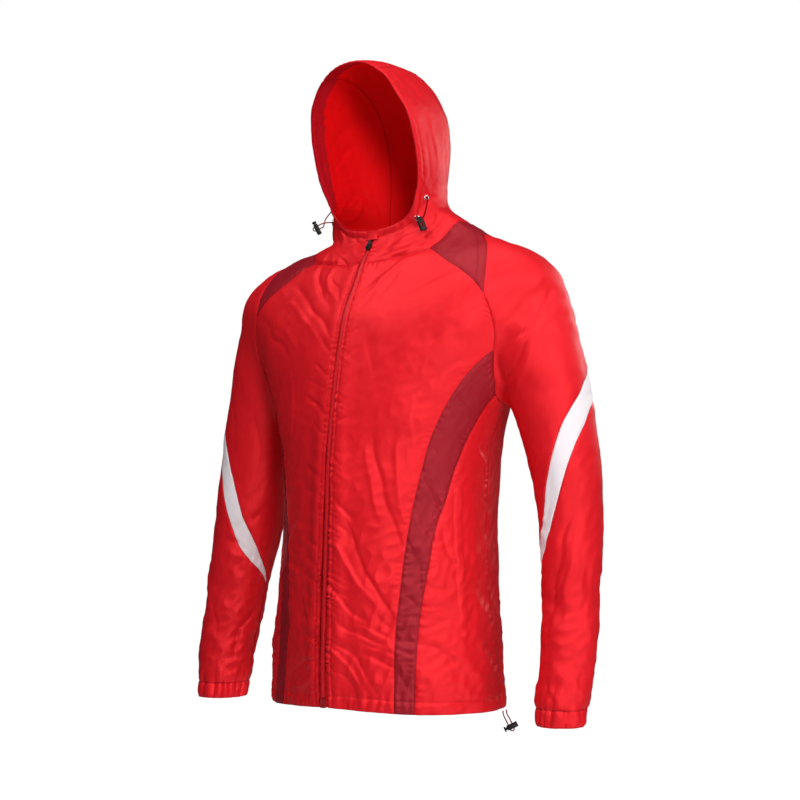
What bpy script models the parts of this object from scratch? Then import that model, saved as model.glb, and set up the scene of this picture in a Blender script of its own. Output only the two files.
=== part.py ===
"""A men's hooded zip-front windbreaker in its worn, hollow form.

Metres, +Z up.  The garment's front looks along -Y, the wearer's left is +X, and the origin is the
middle of the neck at the height of the neck seam's sides, where the wearer's shoulders carry it.

The cloth lies on one smooth form, built from a table of torso sections, two tables of arm rings and
an egg for the hood.  Seams are drawn on the form, each panel is a grid between its seams, and its
wall is that grid moved in and out along the form's normal.
"""
import bpy
import bmesh
import numpy as np
from math import cos, pi, radians, sin
from mathutils import Matrix, Vector
from mathutils.bvhtree import BVHTree

# ---- driving sizes ------------------------------------------------------------------------------
WALL = 0.0015            # cloth, thickened to a wall
SEAM_GAP = 0.0003        # between two sewn pieces
LAID_GAP = 0.0003        # between a piece and what it lies on
STRAP_WALL = 0.0010      # wall of small pieces laid on a panel

# Torso sections: half width, front and back are measured from the middle plane x = 0, y = 0.
BODY_COLUMNS = ("z", "half_width", "front", "back", "power", "middle_y")
BODY = np.array([
    (-0.760, 0.186, 0.159, 0.133, 1.70, -0.028),
    (-0.640, 0.184, 0.163, 0.130, 1.70, -0.028),
    (-0.540, 0.172, 0.160, 0.143, 1.70, -0.028),
    (-0.440, 0.166, 0.156, 0.156, 1.70, -0.026),
    (-0.350, 0.169, 0.152, 0.158, 1.75, -0.022),
    (-0.270, 0.189, 0.142, 0.150, 1.90, -0.015),
    (-0.200, 0.218, 0.129, 0.140, 2.10, -0.006),
    (-0.140, 0.247, 0.113, 0.130, 2.20, 0.000),
    (-0.095, 0.264, 0.090, 0.118, 2.20, 0.003),
    (-0.060, 0.233, 0.072, 0.102, 2.20, 0.005),
    (-0.030, 0.174, 0.052, 0.090, 2.30, 0.005),
    (-0.005, 0.134, 0.038, 0.080, 3.00, 0.005),
    (0.030, 0.084, 0.036, 0.068, 3.00, 0.005),
    (0.060, 0.060, 0.035, 0.050, 3.00, 0.005),
])
BODY_TOP = 0.070         # the torso's sections end here, inside the hood
# The collar stands steeper on the wearer's right: how much narrower the torso's sections are there.
RIGHT_NECK_COLUMNS = ("z", "narrower")
RIGHT_NECK = np.array([
    (-0.0450, 0.000), (-0.0312, 0.006), (-0.0226, 0.028), (-0.0152, 0.044), (-0.0050, 0.029),
    (0.0120, 0.004), (0.0220, -0.007), (0.0450, 0.000),
])
BACK_POWER = 2.2         # squareness of the back half of each section

# Arm rings, measured on the wearer's left; the right arm hangs a little fuller.
ARM_COLUMNS = ("x", "y", "z", "radius")
LEFT_ARM = np.array([
    (0.150, 0.018, -0.120, 0.070),
    (0.231, 0.024, -0.125, 0.046),
    (0.248, 0.017, -0.210, 0.059),
    (0.274, 0.019, -0.320, 0.054),
    (0.290, 0.015, -0.420, 0.047),
    (0.297, 0.004, -0.520, 0.042),
    (0.300, -0.014, -0.620, 0.038),
    (0.299, -0.029, -0.690, 0.035),
    (0.298, -0.034, -0.720, 0.034),
])
RIGHT_ARM = np.array([
    (0.150, 0.018, -0.120, 0.070),
    (0.212, 0.021, -0.125, 0.071),
    (0.246, 0.020, -0.210, 0.065),
    (0.273, 0.021, -0.320, 0.059),
    (0.287, 0.017, -0.420, 0.057),
    (0.297, 0.003, -0.520, 0.051),
    (0.301, -0.015, -0.620, 0.045),
    (0.300, -0.030, -0.690, 0.041),
    (0.299, -0.036, -0.720, 0.040),
])
ARM_STEPS = 4            # straight lengths between two rings
ARM_BLEND = 0.035        # how softly an arm runs into the torso

HOOD_MIDDLE = np.array((0.0, -0.015, 0.115))
HOOD_RADII = np.array((0.097, 0.098, 0.132))
HOOD_FRONT = 0.175       # the egg reaches further forward than back
HOOD_POWER = 2.2
HOOD_BLEND = 0.030
CHIN_Y, CHIN_Z, CHIN_SLOPE, CHIN_ROUND = -0.040, -0.006, 0.90, 0.020

# ---- seams, drawn on the wearer's left: x, y, z -------------------------------------------------
NECK_FRONT = [(0.0, -0.074, -0.0615), (0.046, -0.070, -0.058), (0.075, -0.064, -0.052),
              (0.106, -0.056, -0.047)]
NECK_SIDE = [(0.106, -0.056, -0.047), (0.121, -0.038, -0.026), (0.130, -0.007, -0.003),
             (0.125, 0.025, 0.001), (0.106, 0.052, -0.003)]
NECK_BACK = [(0.106, 0.052, -0.003), (0.062, 0.072, 0.000), (0.050, 0.075, 0.001), (0.0, 0.080, 0.002)]
YOKE_FRONT = [(0.106, -0.056, -0.047), (0.144, -0.0675, -0.073), (0.169, -0.0705, -0.0895),
              (0.192, -0.072, -0.109), (0.204, -0.069, -0.126)]
YOKE_BACK = [(0.106, 0.052, -0.003), (0.145, 0.070, -0.045), (0.180, 0.082, -0.085), (0.204, 0.086, -0.125)]
ARMHOLE_UNDER = [(0.190, 0.022, -0.272), (0.191, 0.000, -0.272), (0.194, -0.020, -0.265)]
ARMHOLE_INSET = [(0.194, -0.020, -0.265), (0.202, -0.038, -0.235), (0.208, -0.048, -0.204)]
ARMHOLE_FRONT = [(0.208, -0.048, -0.204), (0.212, -0.052, -0.185), (0.213, -0.060, -0.161),
                 (0.2086, -0.067, -0.138), (0.204, -0.069, -0.126)]
ARMHOLE_OVER = [(0.204, -0.069, -0.126), (0.202, -0.059, -0.087), (0.188, -0.032, -0.048),
                (0.168, -0.002, -0.027), (0.172, 0.025, -0.030), (0.187, 0.056, -0.055),
                (0.201, 0.078, -0.090), (0.204, 0.086, -0.125)]
ARMHOLE_BACK = [(0.204, 0.086, -0.125), (0.213, 0.086, -0.165), (0.211, 0.075, -0.205),
                (0.203, 0.054, -0.245), (0.190, 0.022, -0.272)]
INSET_FRONT = [(0.208, -0.048, -0.204), (0.183, -0.066, -0.231), (0.165, -0.077, -0.258),
               (0.149, -0.086, -0.289), (0.136, -0.093, -0.321), (0.123, -0.100, -0.371),
               (0.115, -0.108, -0.416), (0.106, -0.118, -0.487), (0.102, -0.125, -0.546),
               (0.100, -0.131, -0.589), (0.098, -0.132, -0.701)]
INSET_BACK = [(0.194, -0.020, -0.265), (0.1835, -0.0305, -0.281), (0.1695, -0.045, -0.315),
              (0.154, -0.061, -0.363), (0.1455, -0.073, -0.408), (0.136, -0.0875, -0.4555),
              (0.1315, -0.0975, -0.5075), (0.127, -0.108, -0.559), (0.125, -0.118, -0.628),
              (0.121, -0.118, -0.702)]
SIDE_SEAM = [(0.190, 0.022, -0.272), (0.176, 0.012, -0.320), (0.168, 0.008, -0.380), (0.166, 0.006, -0.450),
             (0.172, 0.006, -0.540), (0.182, 0.008, -0.640), (0.185, 0.010, -0.703)]
ZIP_LINE = [(0.0, -0.160, -0.696), (0.0, -0.163, -0.640), (0.0, -0.160, -0.540), (0.0, -0.156, -0.440),
            (0.0, -0.152, -0.350), (0.0, -0.142, -0.270), (0.0, -0.129, -0.200), (0.0, -0.113, -0.140),
            (0.0, -0.090, -0.095), (0.0, -0.074, -0.0615)]
COLLAR_LINE = [(0.0, -0.074, -0.0615), (0.0, -0.058, -0.040), (0.0, -0.044, -0.022), (0.0, -0.035, -0.0065)]
HOOD_RIM = [(0.0, -0.035, -0.0065), (0.030, -0.037, -0.002), (0.058, -0.041, 0.010), (0.076, -0.048, 0.027),
            (0.0845, -0.0525, 0.046), (0.091, -0.062, 0.073), (0.093, -0.070, 0.100),
            (0.0925, -0.080, 0.1275), (0.087, -0.090, 0.1555), (0.078, -0.100, 0.176),
            (0.062, -0.1035, 0.200), (0.048, -0.105, 0.211), (0.030, -0.1055, 0.218), (0.0, -0.106, 0.2215)]
HOOD_SEAM = [(0.048, -0.105, 0.211), (0.054, -0.060, 0.234), (0.056, -0.010, 0.232), (0.056, 0.040, 0.205),
             (0.055, 0.068, 0.160), (0.053, 0.077, 0.110), (0.051, 0.076, 0.060), (0.050, 0.075, 0.001)]
RIGHT_INSET_SHIFT = [(-0.702, 1.00), (-0.655, 0.90), (-0.580, 0.82), (-0.500, 0.85), (-0.410, 0.92),
                     (-0.300, 1.00)]

# Sleeve stripe: its two edges' heights round the arm; 0 degrees points outward and 90 forward.
STRIPE_COLUMNS = ("degrees", "top_z", "bottom_z")
STRIPE = np.array([
    (-160, -0.300, -0.338), (-130, -0.272, -0.310), (-95, -0.240, -0.278), (-50, -0.226, -0.264),
    (-3, -0.245, -0.283), (20, -0.266, -0.310), (40, -0.287, -0.334), (60, -0.315, -0.368),
    (80, -0.352, -0.408), (100, -0.392, -0.445), (120, -0.436, -0.478), (145, -0.470, -0.501),
    (170, -0.502, -0.517), (200, -0.532, -0.537),
])
CUFF_TOP, CUFF_BOTTOM = -0.6885, -0.7110
CUFF_WAVES, CUFF_WAVE_HEIGHT, SLEEVE_BLOUSE = 15, 0.0014, 0.0035
SLEEVE_HEAD_END = -0.300         # below this height the sleeve's lines follow the arm rings
SHOULDER_ROUND = 0.050           # how far its lines bow out over the shoulder
ARMHOLE_BOW = 0.022              # and away from the armhole in front and behind
ARMHOLE_PARTS = ("armhole_under", "armhole_inset", "armhole_front", "neck_side", "armhole_back")
ARMHOLE_DEGREES = (200, 170, 138, 98, -98, -160)   # round the arm, where each part's ends run down to

# ---- how many grid cells along each seam --------------------------------------------------------
CELLS = dict(neck_front=5, neck_side=10, neck_back_side=2, neck_back_middle=4, yoke_edge=4, armhole_under=3,
             armhole_inset=3, armhole_front=4, armhole_back=7, body_height=20, hood_height=12, sleeve_head=8,
             stripe=2, lower_sleeve=9, cuff=1)
SEAM_SAMPLES = 160
EVEN_ROUNDS = 8          # how often each grid is evened out

# ---- the largest folds, in mm: a soft ridge (height above 0) or trough between two points -------
# The bow bends a fold sideways at its middle.
FOLD_COLUMNS = ("x0", "y0", "z0", "x1", "y1", "z1", "bow", "half_width", "height")
FOLDS = np.array([
    (207, -67, -141, 105, -118, -224, -3, 13, -3.5),
    (170, -70, -91, 66, -111, -142, -3, 12, -3),
    (73, -71, -63, 10, -97, -109, 2, 11, -2.6),
    (105, -57, -48, 19, -110, -133, -8, 13, 3),
    (64, -137, -329, 102, -121, -475, -2, 15, -3.2),
    (28, -152, -442, 97, -130, -571, -4, 12, -5.5),
    (15, -156, -461, 72, -142, -556, -7, 13, 4.5),
    (9, -159, -527, 65, -147, -578, -5, 11, -3.5),
    (20, -160, -579, 86, -139, -611, -3, 11, -3.8),
    (11, -162, -604, 74, -145, -671, 11, 11, -3.8),
    (16, -161, -614, 56, -152, -672, 4, 11, 3.6),
    (-133, -73, -80, -19, -123, -175, 3, 11, -5),
    (-151, -75, -91, -43, -123, -179, 3, 11, 2.5),
    (-188, -77, -125, -103, -116, -196, -2, 11, -4),
    (-102, -118, -221, -90, -125, -317, 8, 12, 3),
    (179, -41, -607, 183, 1, -651, -3, 11, 3),
    (160, 31, -410, 156, 53, -539, -2, 11, -3),
    (171, -30, -335, 166, -1, -374, 1, 11, 3.5),
    (215, -45, -204, 277, -4, -118, -16, 11, -4),
    (257, -41, -200, 216, -28, -252, 1, 12, -4.5),
    (212, -45, -207, 214, -28, -250, -2, 12, -4),
    (267, -39, -205, 241, -39, -253, 0, 12, 3.5),
    (316, -25, -429, 285, -46, -599, -6, 11, -4.2),
    (326, -18, -440, 309, -46, -585, -3, 12, 2.6),
    (-299, -43, -473, -255, -27, -483, 7, 11, -4),
    (-267, -48, -649, -251, -1, -568, 7, 11, -3.6),
    (205, 88, -150, 70, 128, -260, 6, 13, -3.5),
    (-205, 88, -150, -70, 128, -260, -6, 13, -3.5),
    (200, 60, -240, 90, 138, -330, 5, 14, -3),
    (-200, 60, -240, -90, 138, -330, -5, 14, -3),
    (120, 105, -330, 95, 130, -560, -8, 15, -3),
    (-110, 110, -340, -90, 132, -580, 8, 15, -3),
    (25, 155, -420, 45, 140, -640, 4, 15, -3),
    (-50, 150, -470, -30, 140, -660, -3, 14, 2.5),
    (90, 90, -70, 40, 104, -150, 3, 13, -2.5),
    (-90, 90, -70, -40, 104, -150, -3, 13, -2.5),
    (262, 60, -330, 292, 50, -440, 6, 12, -3),
    (-262, 70, -330, -292, 60, -440, -6, 12, -3),
    (300, 25, -560, 270, 20, -640, 4, 12, -3),
    (-300, 35, -560, -268, 30, -640, -4, 12, -3),
]) / 1000
FOLD_STEPS = 4           # straight lengths in a bowed fold
ZIP_OPEN = 0.0072        # half the gap between the fronts, where the zip shows
ZIP_CALM = 0.020         # folds fade out over this width beside it


# ---- the form -----------------------------------------------------------------------------------
def smooth_rows(keys, rows, x):
    """Values between a table's rows, on a curve without corners."""
    keys, rows = np.asarray(keys, float), np.asarray(rows, float)
    step = np.diff(keys)[:, None]
    slope = np.diff(rows, axis=0) / step
    lean = np.vstack([slope[:1], (slope[:-1] * step[1:] + slope[1:] * step[:-1]) / (step[1:] + step[:-1]), slope[-1:]])
    x = np.clip(x, keys[0], keys[-1])
    i = np.clip(np.searchsorted(keys, x) - 1, 0, len(keys) - 2)
    h = step[i]
    t = ((x - keys[i]) / h[:, 0])[:, None]
    return ((2 * t ** 3 - 3 * t ** 2 + 1) * rows[i] + (t ** 3 - 2 * t ** 2 + t) * h * lean[i]
            + (3 * t ** 2 - 2 * t ** 3) * rows[i + 1] + (t ** 3 - t ** 2) * h * lean[i + 1])


def body_field(p):
    """Signed distance to the torso and its slope; below 0 inside."""
    step = 0.001
    ratios = []
    for z in (p[:, 2], p[:, 2] + step, p[:, 2] - step):
        half_width, front, back, power, middle = smooth_rows(BODY[:, 0], BODY[:, 1:], z).T
        narrower = smooth_rows(RIGHT_NECK[:, 0], RIGHT_NECK[:, 1:], z)[:, 0]
        half_width = half_width - np.where(p[:, 0] < 0, narrower, 0)
        y = p[:, 1] - middle
        depth = np.where(y < 0, front + middle, back - middle)
        power = np.where(y < 0, power, np.maximum(power, BACK_POWER))
        wide, deep = np.abs(p[:, 0] / half_width), np.abs(y / depth)
        total = np.maximum(wide ** power + deep ** power, 1e-9)
        ratios.append(total ** (1 / power))
        if len(ratios) == 1:
            rise = total ** (1 / power - 1)
            slope_x = rise * wide ** (power - 1) * np.sign(p[:, 0]) / half_width
            slope_y = rise * deep ** (power - 1) * np.sign(y) / depth
    slope = np.stack([slope_x, slope_y, (ratios[1] - ratios[2]) / (2 * step)], 1)
    value, slope = to_distance(ratios[0], slope)
    above = p[:, 2] - BODY_TOP > value
    return np.where(above, p[:, 2] - BODY_TOP, value), np.where(above[:, None], (0, 0, 1), slope)


def to_distance(ratio, slope):
    steep = np.maximum(np.linalg.norm(slope, axis=1), 2.0)
    return (ratio - 1) / steep, slope / steep[:, None]


def fine_arm(table):
    at = np.linspace(0, len(table) - 1, ARM_STEPS * (len(table) - 1) + 1)
    return smooth_rows(np.arange(len(table)), table, at)


ARMS = {1: fine_arm(LEFT_ARM), -1: fine_arm(RIGHT_ARM)}


def arm_field(p):
    """Signed distance to the nearer arm's chain of rings and its slope."""
    value, slope = np.empty(len(p)), np.empty((len(p), 3))
    for side, arm in ARMS.items():
        mine = p[:, 0] * side >= 0 if side > 0 else p[:, 0] < 0
        q = (p[mine] * (side, 1, 1))[:, None]
        start, run = arm[:-1, :3], np.diff(arm[:, :3], axis=0)
        t = np.clip(((q - start) * run).sum(2) / (run ** 2).sum(1), 0, 1)
        away = q - start - t[..., None] * run
        length = np.linalg.norm(away, axis=2)
        gap = length - (arm[:-1, 3] + t * np.diff(arm[:, 3]))
        pick = gap.argmin(1)
        row = np.arange(len(pick))
        value[mine] = gap[row, pick]
        slope[mine] = away[row, pick] / np.maximum(length[row, pick], 1e-9)[:, None] * (side, 1, 1)
    return value, slope


def hood_field(p):
    """Signed distance to the hood's egg, cut off under the chin, and its slope."""
    radii = np.tile(HOOD_RADII, (len(p), 1))
    radii[:, 1] = np.where(p[:, 1] < HOOD_MIDDLE[1], HOOD_FRONT, HOOD_RADII[1])
    q = (p - HOOD_MIDDLE) / radii
    total = np.maximum((np.abs(q) ** HOOD_POWER).sum(1), 1e-9)
    slope = (total ** (1 / HOOD_POWER - 1))[:, None] * np.abs(q) ** (HOOD_POWER - 1) * np.sign(q) / radii
    value, slope = to_distance(total ** (1 / HOOD_POWER), slope)
    steep = (1 + CHIN_SLOPE ** 2) ** 0.5
    chin = (CHIN_Y - (p[:, 2] - CHIN_Z) * CHIN_SLOPE - p[:, 1]) / steep
    chin_slope = np.tile((0, -1 / steep, -CHIN_SLOPE / steep), (len(p), 1))
    value, slope = soft_min((-value, -slope), (-chin, -chin_slope), CHIN_ROUND)
    return -value, -slope


def soft_min(first, second, blend):
    """The smaller of two fields, rounded where they meet."""
    (a, slope_a), (b, slope_b) = first, second
    h = np.clip(0.5 + 0.5 * (b - a) / blend, 0, 1)
    return b + (a - b) * h - blend * h * (1 - h), slope_a * h[:, None] + slope_b * (1 - h)[:, None]


def form(p):
    """Below 0 inside the worn garment, 0 on its outside; with its slope."""
    return soft_min(soft_min(body_field(p), arm_field(p), ARM_BLEND), hood_field(p), HOOD_BLEND)


def settle(points, rounds=14):
    """Points moved onto the form, straight down its slope."""
    p = np.array(points, float).reshape(-1, 3)
    for _ in range(rounds):
        value, slope = form(p)
        move = (value / np.maximum((slope ** 2).sum(1), 0.3))[:, None] * slope
        length = np.linalg.norm(move, axis=1)[:, None]
        p -= move * np.minimum(1, 0.02 / np.maximum(length, 1e-9))
        if length.max() < 1e-6:
            break
    return p.reshape(np.shape(points))


def normals(p):
    slope = form(p.reshape(-1, 3))[1]
    return (slope / np.linalg.norm(slope, axis=1)[:, None]).reshape(p.shape)


def fold_paths():
    """Each fold as a short chain of points, with its half width and height."""
    starts, ends = settle(FOLDS[:, 0:3]), settle(FOLDS[:, 3:6])
    sideways = np.cross(normals(settle((starts + ends) / 2)), ends - starts)
    sideways *= (FOLDS[:, 6] / np.linalg.norm(sideways, axis=1))[:, None]
    t = np.linspace(0, 1, FOLD_STEPS + 1)[:, None, None]
    return settle(starts + (ends - starts) * t + sideways * 4 * t * (1 - t)).transpose(1, 0, 2)


def fold_height(p):
    """How far the folds lift or sink the cloth at each point."""
    q = p.reshape(-1, 3)
    lift = np.zeros(len(q))
    for path, (half_width, height) in zip(FOLD_PATHS, FOLDS[:, 7:9]):
        near = np.abs(q - path.mean(0)).max(1) < np.abs(path - path.mean(0)).max() + 3 * half_width
        if not near.any():
            continue
        start, run = path[:-1], np.diff(path, axis=0)
        t = np.clip(((q[near, None] - start) * run).sum(2) / (run ** 2).sum(1), 0, 1)
        away = np.linalg.norm(q[near, None] - start - t[..., None] * run, axis=2)
        pick = away.argmin(1)
        row = np.arange(len(pick))
        along = (pick + t[row, pick]) / len(run)
        swell = np.sin(pi * (0.12 + 0.76 * along)) ** 0.7
        lift[near] += height * swell * np.exp(-(away[row, pick] / half_width) ** 2)
    past_zip = np.clip((np.abs(q[:, 0]) - ZIP_OPEN) / ZIP_CALM, 0, 1)
    lift *= np.where(q[:, 1] < 0, past_zip, 1)
    return lift.reshape(p.shape[:-1])


FOLD_PATHS = fold_paths()


# ---- seams and grids ----------------------------------------------------------------------------
def resample(line, cells):
    """A line cut into equal lengths."""
    at = np.concatenate([[0], np.cumsum(np.linalg.norm(np.diff(line, axis=0), axis=1))])
    return np.stack([np.interp(np.linspace(0, at[-1], cells + 1), at, axis) for axis in line.T], 1)


def seam(points, cells, side=1):
    """A seam drawn through its points on one side of the form."""
    points = np.array(points, float)
    chord = np.concatenate([[0], np.cumsum(np.linalg.norm(np.diff(points, axis=0), axis=1))])
    line = smooth_rows(chord, points, np.linspace(0, chord[-1], SEAM_SAMPLES))
    line = settle(line * (side, 1, 1))
    if abs(points[:, 0]).max() == 0:
        line[:, 0] = 0
    return resample(line, cells)


def join(*lines):
    return np.concatenate([lines[0]] + [line[1:] for line in lines[1:]])


def to_round(p, unwrap_from=0.0):
    """x, y, z to angle about the upright axis, radius and height."""
    angle = np.arctan2(p[..., 0], -p[..., 1]) - unwrap_from
    return np.stack([(angle + pi) % (2 * pi) - pi, np.hypot(p[..., 0], p[..., 1]), p[..., 2]], -1)


def from_round(q, unwrap_from=0.0):
    angle = q[..., 0] + unwrap_from
    return np.stack([q[..., 1] * np.sin(angle), -q[..., 1] * np.cos(angle), q[..., 2]], -1)


def span(bottom, top, left, right, round_from=None):
    """A grid between four seams that share their corners, row 0 at the bottom, settled on the form."""
    sides = [bottom, top, left, right]
    if round_from is not None:
        sides = [to_round(line, round_from) for line in sides]
    low, high, first, last = sides
    u = np.linspace(0, 1, len(low))[None, :, None]
    v = np.linspace(0, 1, len(first))[:, None, None]
    grid = ((1 - v) * low + v * high + (1 - u) * first[:, None] + u * last[:, None]
            - (1 - u) * (1 - v) * low[0] - u * (1 - v) * low[-1] - (1 - u) * v * high[0] - u * v * high[-1])
    if round_from is not None:
        grid = from_round(grid, round_from)
    grid = settle(grid)
    grid[0], grid[-1], grid[:, 0], grid[:, -1] = bottom, top, left, right
    return even_out(grid, EVEN_ROUNDS)


def even_out(grid, rounds):
    """The inner columns of a grid drawn apart and their points spread evenly, the outline kept."""
    grid = grid.copy()
    for _ in range(rounds):
        grid[1:-1, 1:-1] = settle((grid[1:-1, :-2] + 2 * grid[1:-1, 1:-1] + grid[1:-1, 2:]) / 4)
        for j in range(1, grid.shape[1] - 1):
            grid[:, j] = resample(grid[:, j], len(grid) - 1)
    grid[1:-1, 1:-1] = settle(grid[1:-1, 1:-1])
    return grid


def pull_in(rows, closed=False, distance=SEAM_GAP / 2):
    """The outline of a grid drawn in, so that it stands clear of its neighbour."""
    rows = [row.copy() for row in rows]

    def toward(a, b):
        gap = b - a
        return a + gap / np.linalg.norm(gap, axis=-1, keepdims=True) * distance

    def thin(row, count):
        return row if len(row) == count else row[::(len(row) - 1) // (count - 1)]

    first, last = rows[0], rows[-1]
    if len(rows[1]) == len(first):
        rows[0] = toward(first, rows[1])
    if len(rows[-2]) == len(last):
        rows[-1] = toward(last, rows[-2])
    else:
        inner = rows[-2]
        between = np.empty_like(last)
        between[::2], between[1::2] = inner, (inner[:-1] + inner[1:]) / 2
        rows[-1] = toward(last, between)
    if not closed:
        for row in rows:
            row[0], row[-1] = toward(row[0], row[1]), toward(row[-1], row[-2])
    return rows


def panel(name, rows, finish, wall=WALL, lift=0.0, closed=False, extra=None, gap=SEAM_GAP / 2):
    """One piece of cloth: its rows of points moved out to the face and in to the back.

    The last row may have twice the cells of the others.  A closed panel is a ring."""
    rows = pull_in([np.asarray(row) for row in rows], closed, gap)
    flat = np.concatenate(rows)
    starts = np.cumsum([0] + [len(row) for row in rows])
    out = normals(flat)
    height = fold_height(flat) + lift
    if extra is not None:
        height = height + np.concatenate(extra)
    face = flat + out * height[:, None]
    back = face - out * wall
    count = len(flat)
    tris = []
    for r in range(len(rows) - 1):
        low, high = np.arange(starts[r], starts[r + 1]), np.arange(starts[r + 1], starts[r + 2])
        if closed:
            low, high = np.append(low, low[0]), np.append(high, high[0])
        if len(high) == len(low):
            for j in range(len(low) - 1):
                if (r + j) % 2:
                    tris += [(low[j], low[j + 1], high[j + 1]), (low[j], high[j + 1], high[j])]
                else:
                    tris += [(low[j], low[j + 1], high[j]), (low[j + 1], high[j + 1], high[j])]
        else:
            for j in range(len(low) - 1):
                k = 2 * j
                tris += [(low[j], high[k + 1], high[k]), (low[j], low[j + 1], high[k + 1]),
                         (low[j + 1], high[k + 2], high[k + 1])]
    faces = [tuple(t) for t in tris] + [(a + count, c + count, b + count) for a, b, c in tris]
    edges = {}
    for a, b, c in tris:
        for edge in ((a, b), (b, c), (c, a)):
            edges[edge] = True
    for a, b in [edge for edge in edges if (edge[1], edge[0]) not in edges]:
        if flat[a, 2] < flat[b, 2]:
            faces += [(b, a, b + count), (a, a + count, b + count)]
        else:
            faces += [(b, a, a + count), (b, a + count, b + count)]
    return add_mesh(name, np.concatenate([face, back]), faces, finish)


def add_mesh(name, points, faces, finish):
    mesh = bpy.data.meshes.new(name)
    mesh.from_pydata([tuple(p) for p in points], [], [tuple(int(i) for i in f) for f in faces])
    body = bmesh.new()
    body.from_mesh(mesh)
    if body.calc_volume(signed=True) < 0:
        bmesh.ops.reverse_faces(body, faces=body.faces)
    body.to_mesh(mesh)
    body.free()
    mesh.shade_smooth()
    mesh.set_sharp_from_angle(angle=radians(50))
    mesh.materials.append(finish)
    thing = bpy.data.objects.new(name, mesh)
    bpy.context.collection.objects.link(thing)
    return thing


def material(name, colour, roughness, metallic=0.0):
    made = bpy.data.materials.new(name)
    made.use_nodes = True
    shader = made.node_tree.nodes["Principled BSDF"]
    shader.inputs["Base Color"].default_value = (*colour, 1)
    shader.inputs["Roughness"].default_value = roughness
    shader.inputs["Metallic"].default_value = metallic
    made.diffuse_color = (*colour, 1)
    return made


# ---- the garment --------------------------------------------------------------------------------
def side_seams(side):
    """Every seam of one half of the garment, by name."""
    n = CELLS
    right = side < 0

    def inset(points):
        if not right:
            return points
        at, share = zip(*RIGHT_INSET_SHIFT)
        return [(x * np.interp(z, at, share), y, z) for x, y, z in points]

    lines = dict(
        neck_front=seam(NECK_FRONT, n["neck_front"], side),
        neck_side=seam(NECK_SIDE, n["neck_side"], side),
        yoke_front=seam(YOKE_FRONT, n["yoke_edge"], side),
        yoke_back=seam(YOKE_BACK, n["yoke_edge"], side),
        armhole_under=seam(ARMHOLE_UNDER, n["armhole_under"], side),
        armhole_inset=seam(ARMHOLE_INSET, n["armhole_inset"], side),
        armhole_front=seam(ARMHOLE_FRONT, n["armhole_front"], side),
        armhole_over=seam(ARMHOLE_OVER, n["neck_side"], side),
        armhole_back=seam(ARMHOLE_BACK, n["armhole_back"], side),
        inset_front=seam(inset(INSET_FRONT), n["body_height"], side),
        inset_back=seam(inset(INSET_BACK), n["body_height"], side),
        side=seam(SIDE_SEAM, n["body_height"], side),
        zip=seam(ZIP_LINE, n["body_height"] + n["armhole_front"]),
        collar=seam(COLLAR_LINE, n["hood_height"]),
    )
    neck_back = seam(NECK_BACK, SEAM_SAMPLES, side)
    split = int(np.argmin(np.abs(np.abs(neck_back[:, 0]) - HOOD_SEAM[-1][0])))
    lines["neck_back"] = resample(neck_back[:split + 1], n["neck_back_side"])
    lines["neck_middle"] = resample(neck_back[split:], n["neck_back_middle"] // 2)
    return lines


def row_at(start, end, cells, round_from):
    """A level row of cloth between two points, round the body."""
    a, b = to_round(np.array([start, end]), round_from)
    row = a + (b - a) * np.linspace(0, 1, cells + 1)[:, None]
    row = settle(from_round(row, round_from))
    row[0], row[-1] = start, end
    return row


def build_torso(lines, finishes):
    n = CELLS
    for side, word in ((1, "left"), (-1, "right")):
        s = lines[side]
        hem_inset_front, hem_inset_back = s["inset_front"][-1], s["inset_back"][-1]
        zip_edge = s["zip"] + (side * ZIP_OPEN, 0, 0)
        zip_edge = settle(zip_edge)
        zip_edge[:, 0] = side * ZIP_OPEN
        neck = s["neck_front"].copy()
        neck[0] = zip_edge[-1]
        front_edge = join(s["inset_front"][::-1], s["armhole_front"])
        hem = row_at(zip_edge[0], hem_inset_front, n["neck_front"] + n["yoke_edge"], 0)
        rows = span(hem, join(neck, s["yoke_front"]), zip_edge, front_edge)
        panel(f"front_{word}", rows, finishes["red"])

        hem = row_at(hem_inset_front, hem_inset_back, n["armhole_inset"], side * pi / 4)
        rows = span(hem, s["armhole_inset"][::-1], s["inset_front"][::-1], s["inset_back"][::-1])
        panel(f"inset_{word}", rows, finishes["dark"])

        hem = row_at(hem_inset_back, s["side"][-1], n["armhole_under"], side * pi / 2)
        rows = span(hem, s["armhole_under"][::-1], s["inset_back"][::-1], s["side"][::-1])
        panel(f"side_{word}", rows, finishes["red"])

        rows = span(s["armhole_over"], s["neck_side"], s["yoke_front"][::-1], s["yoke_back"][::-1])
        panel(f"yoke_{word}", rows, finishes["dark"])

    left, right = lines[1], lines[-1]
    top = join(left["yoke_back"][::-1], left["neck_back"], left["neck_middle"], right["neck_middle"][::-1],
               right["neck_back"][::-1], right["yoke_back"])
    left_edge = join(left["side"][::-1], left["armhole_back"][::-1])
    right_edge = join(right["side"][::-1], right["armhole_back"][::-1])
    hem = row_at(left_edge[0], right_edge[0], len(top) - 1, pi)
    rows = span(hem, top, left_edge, right_edge, round_from=pi)
    panel("back", rows, finishes["red"])


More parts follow.
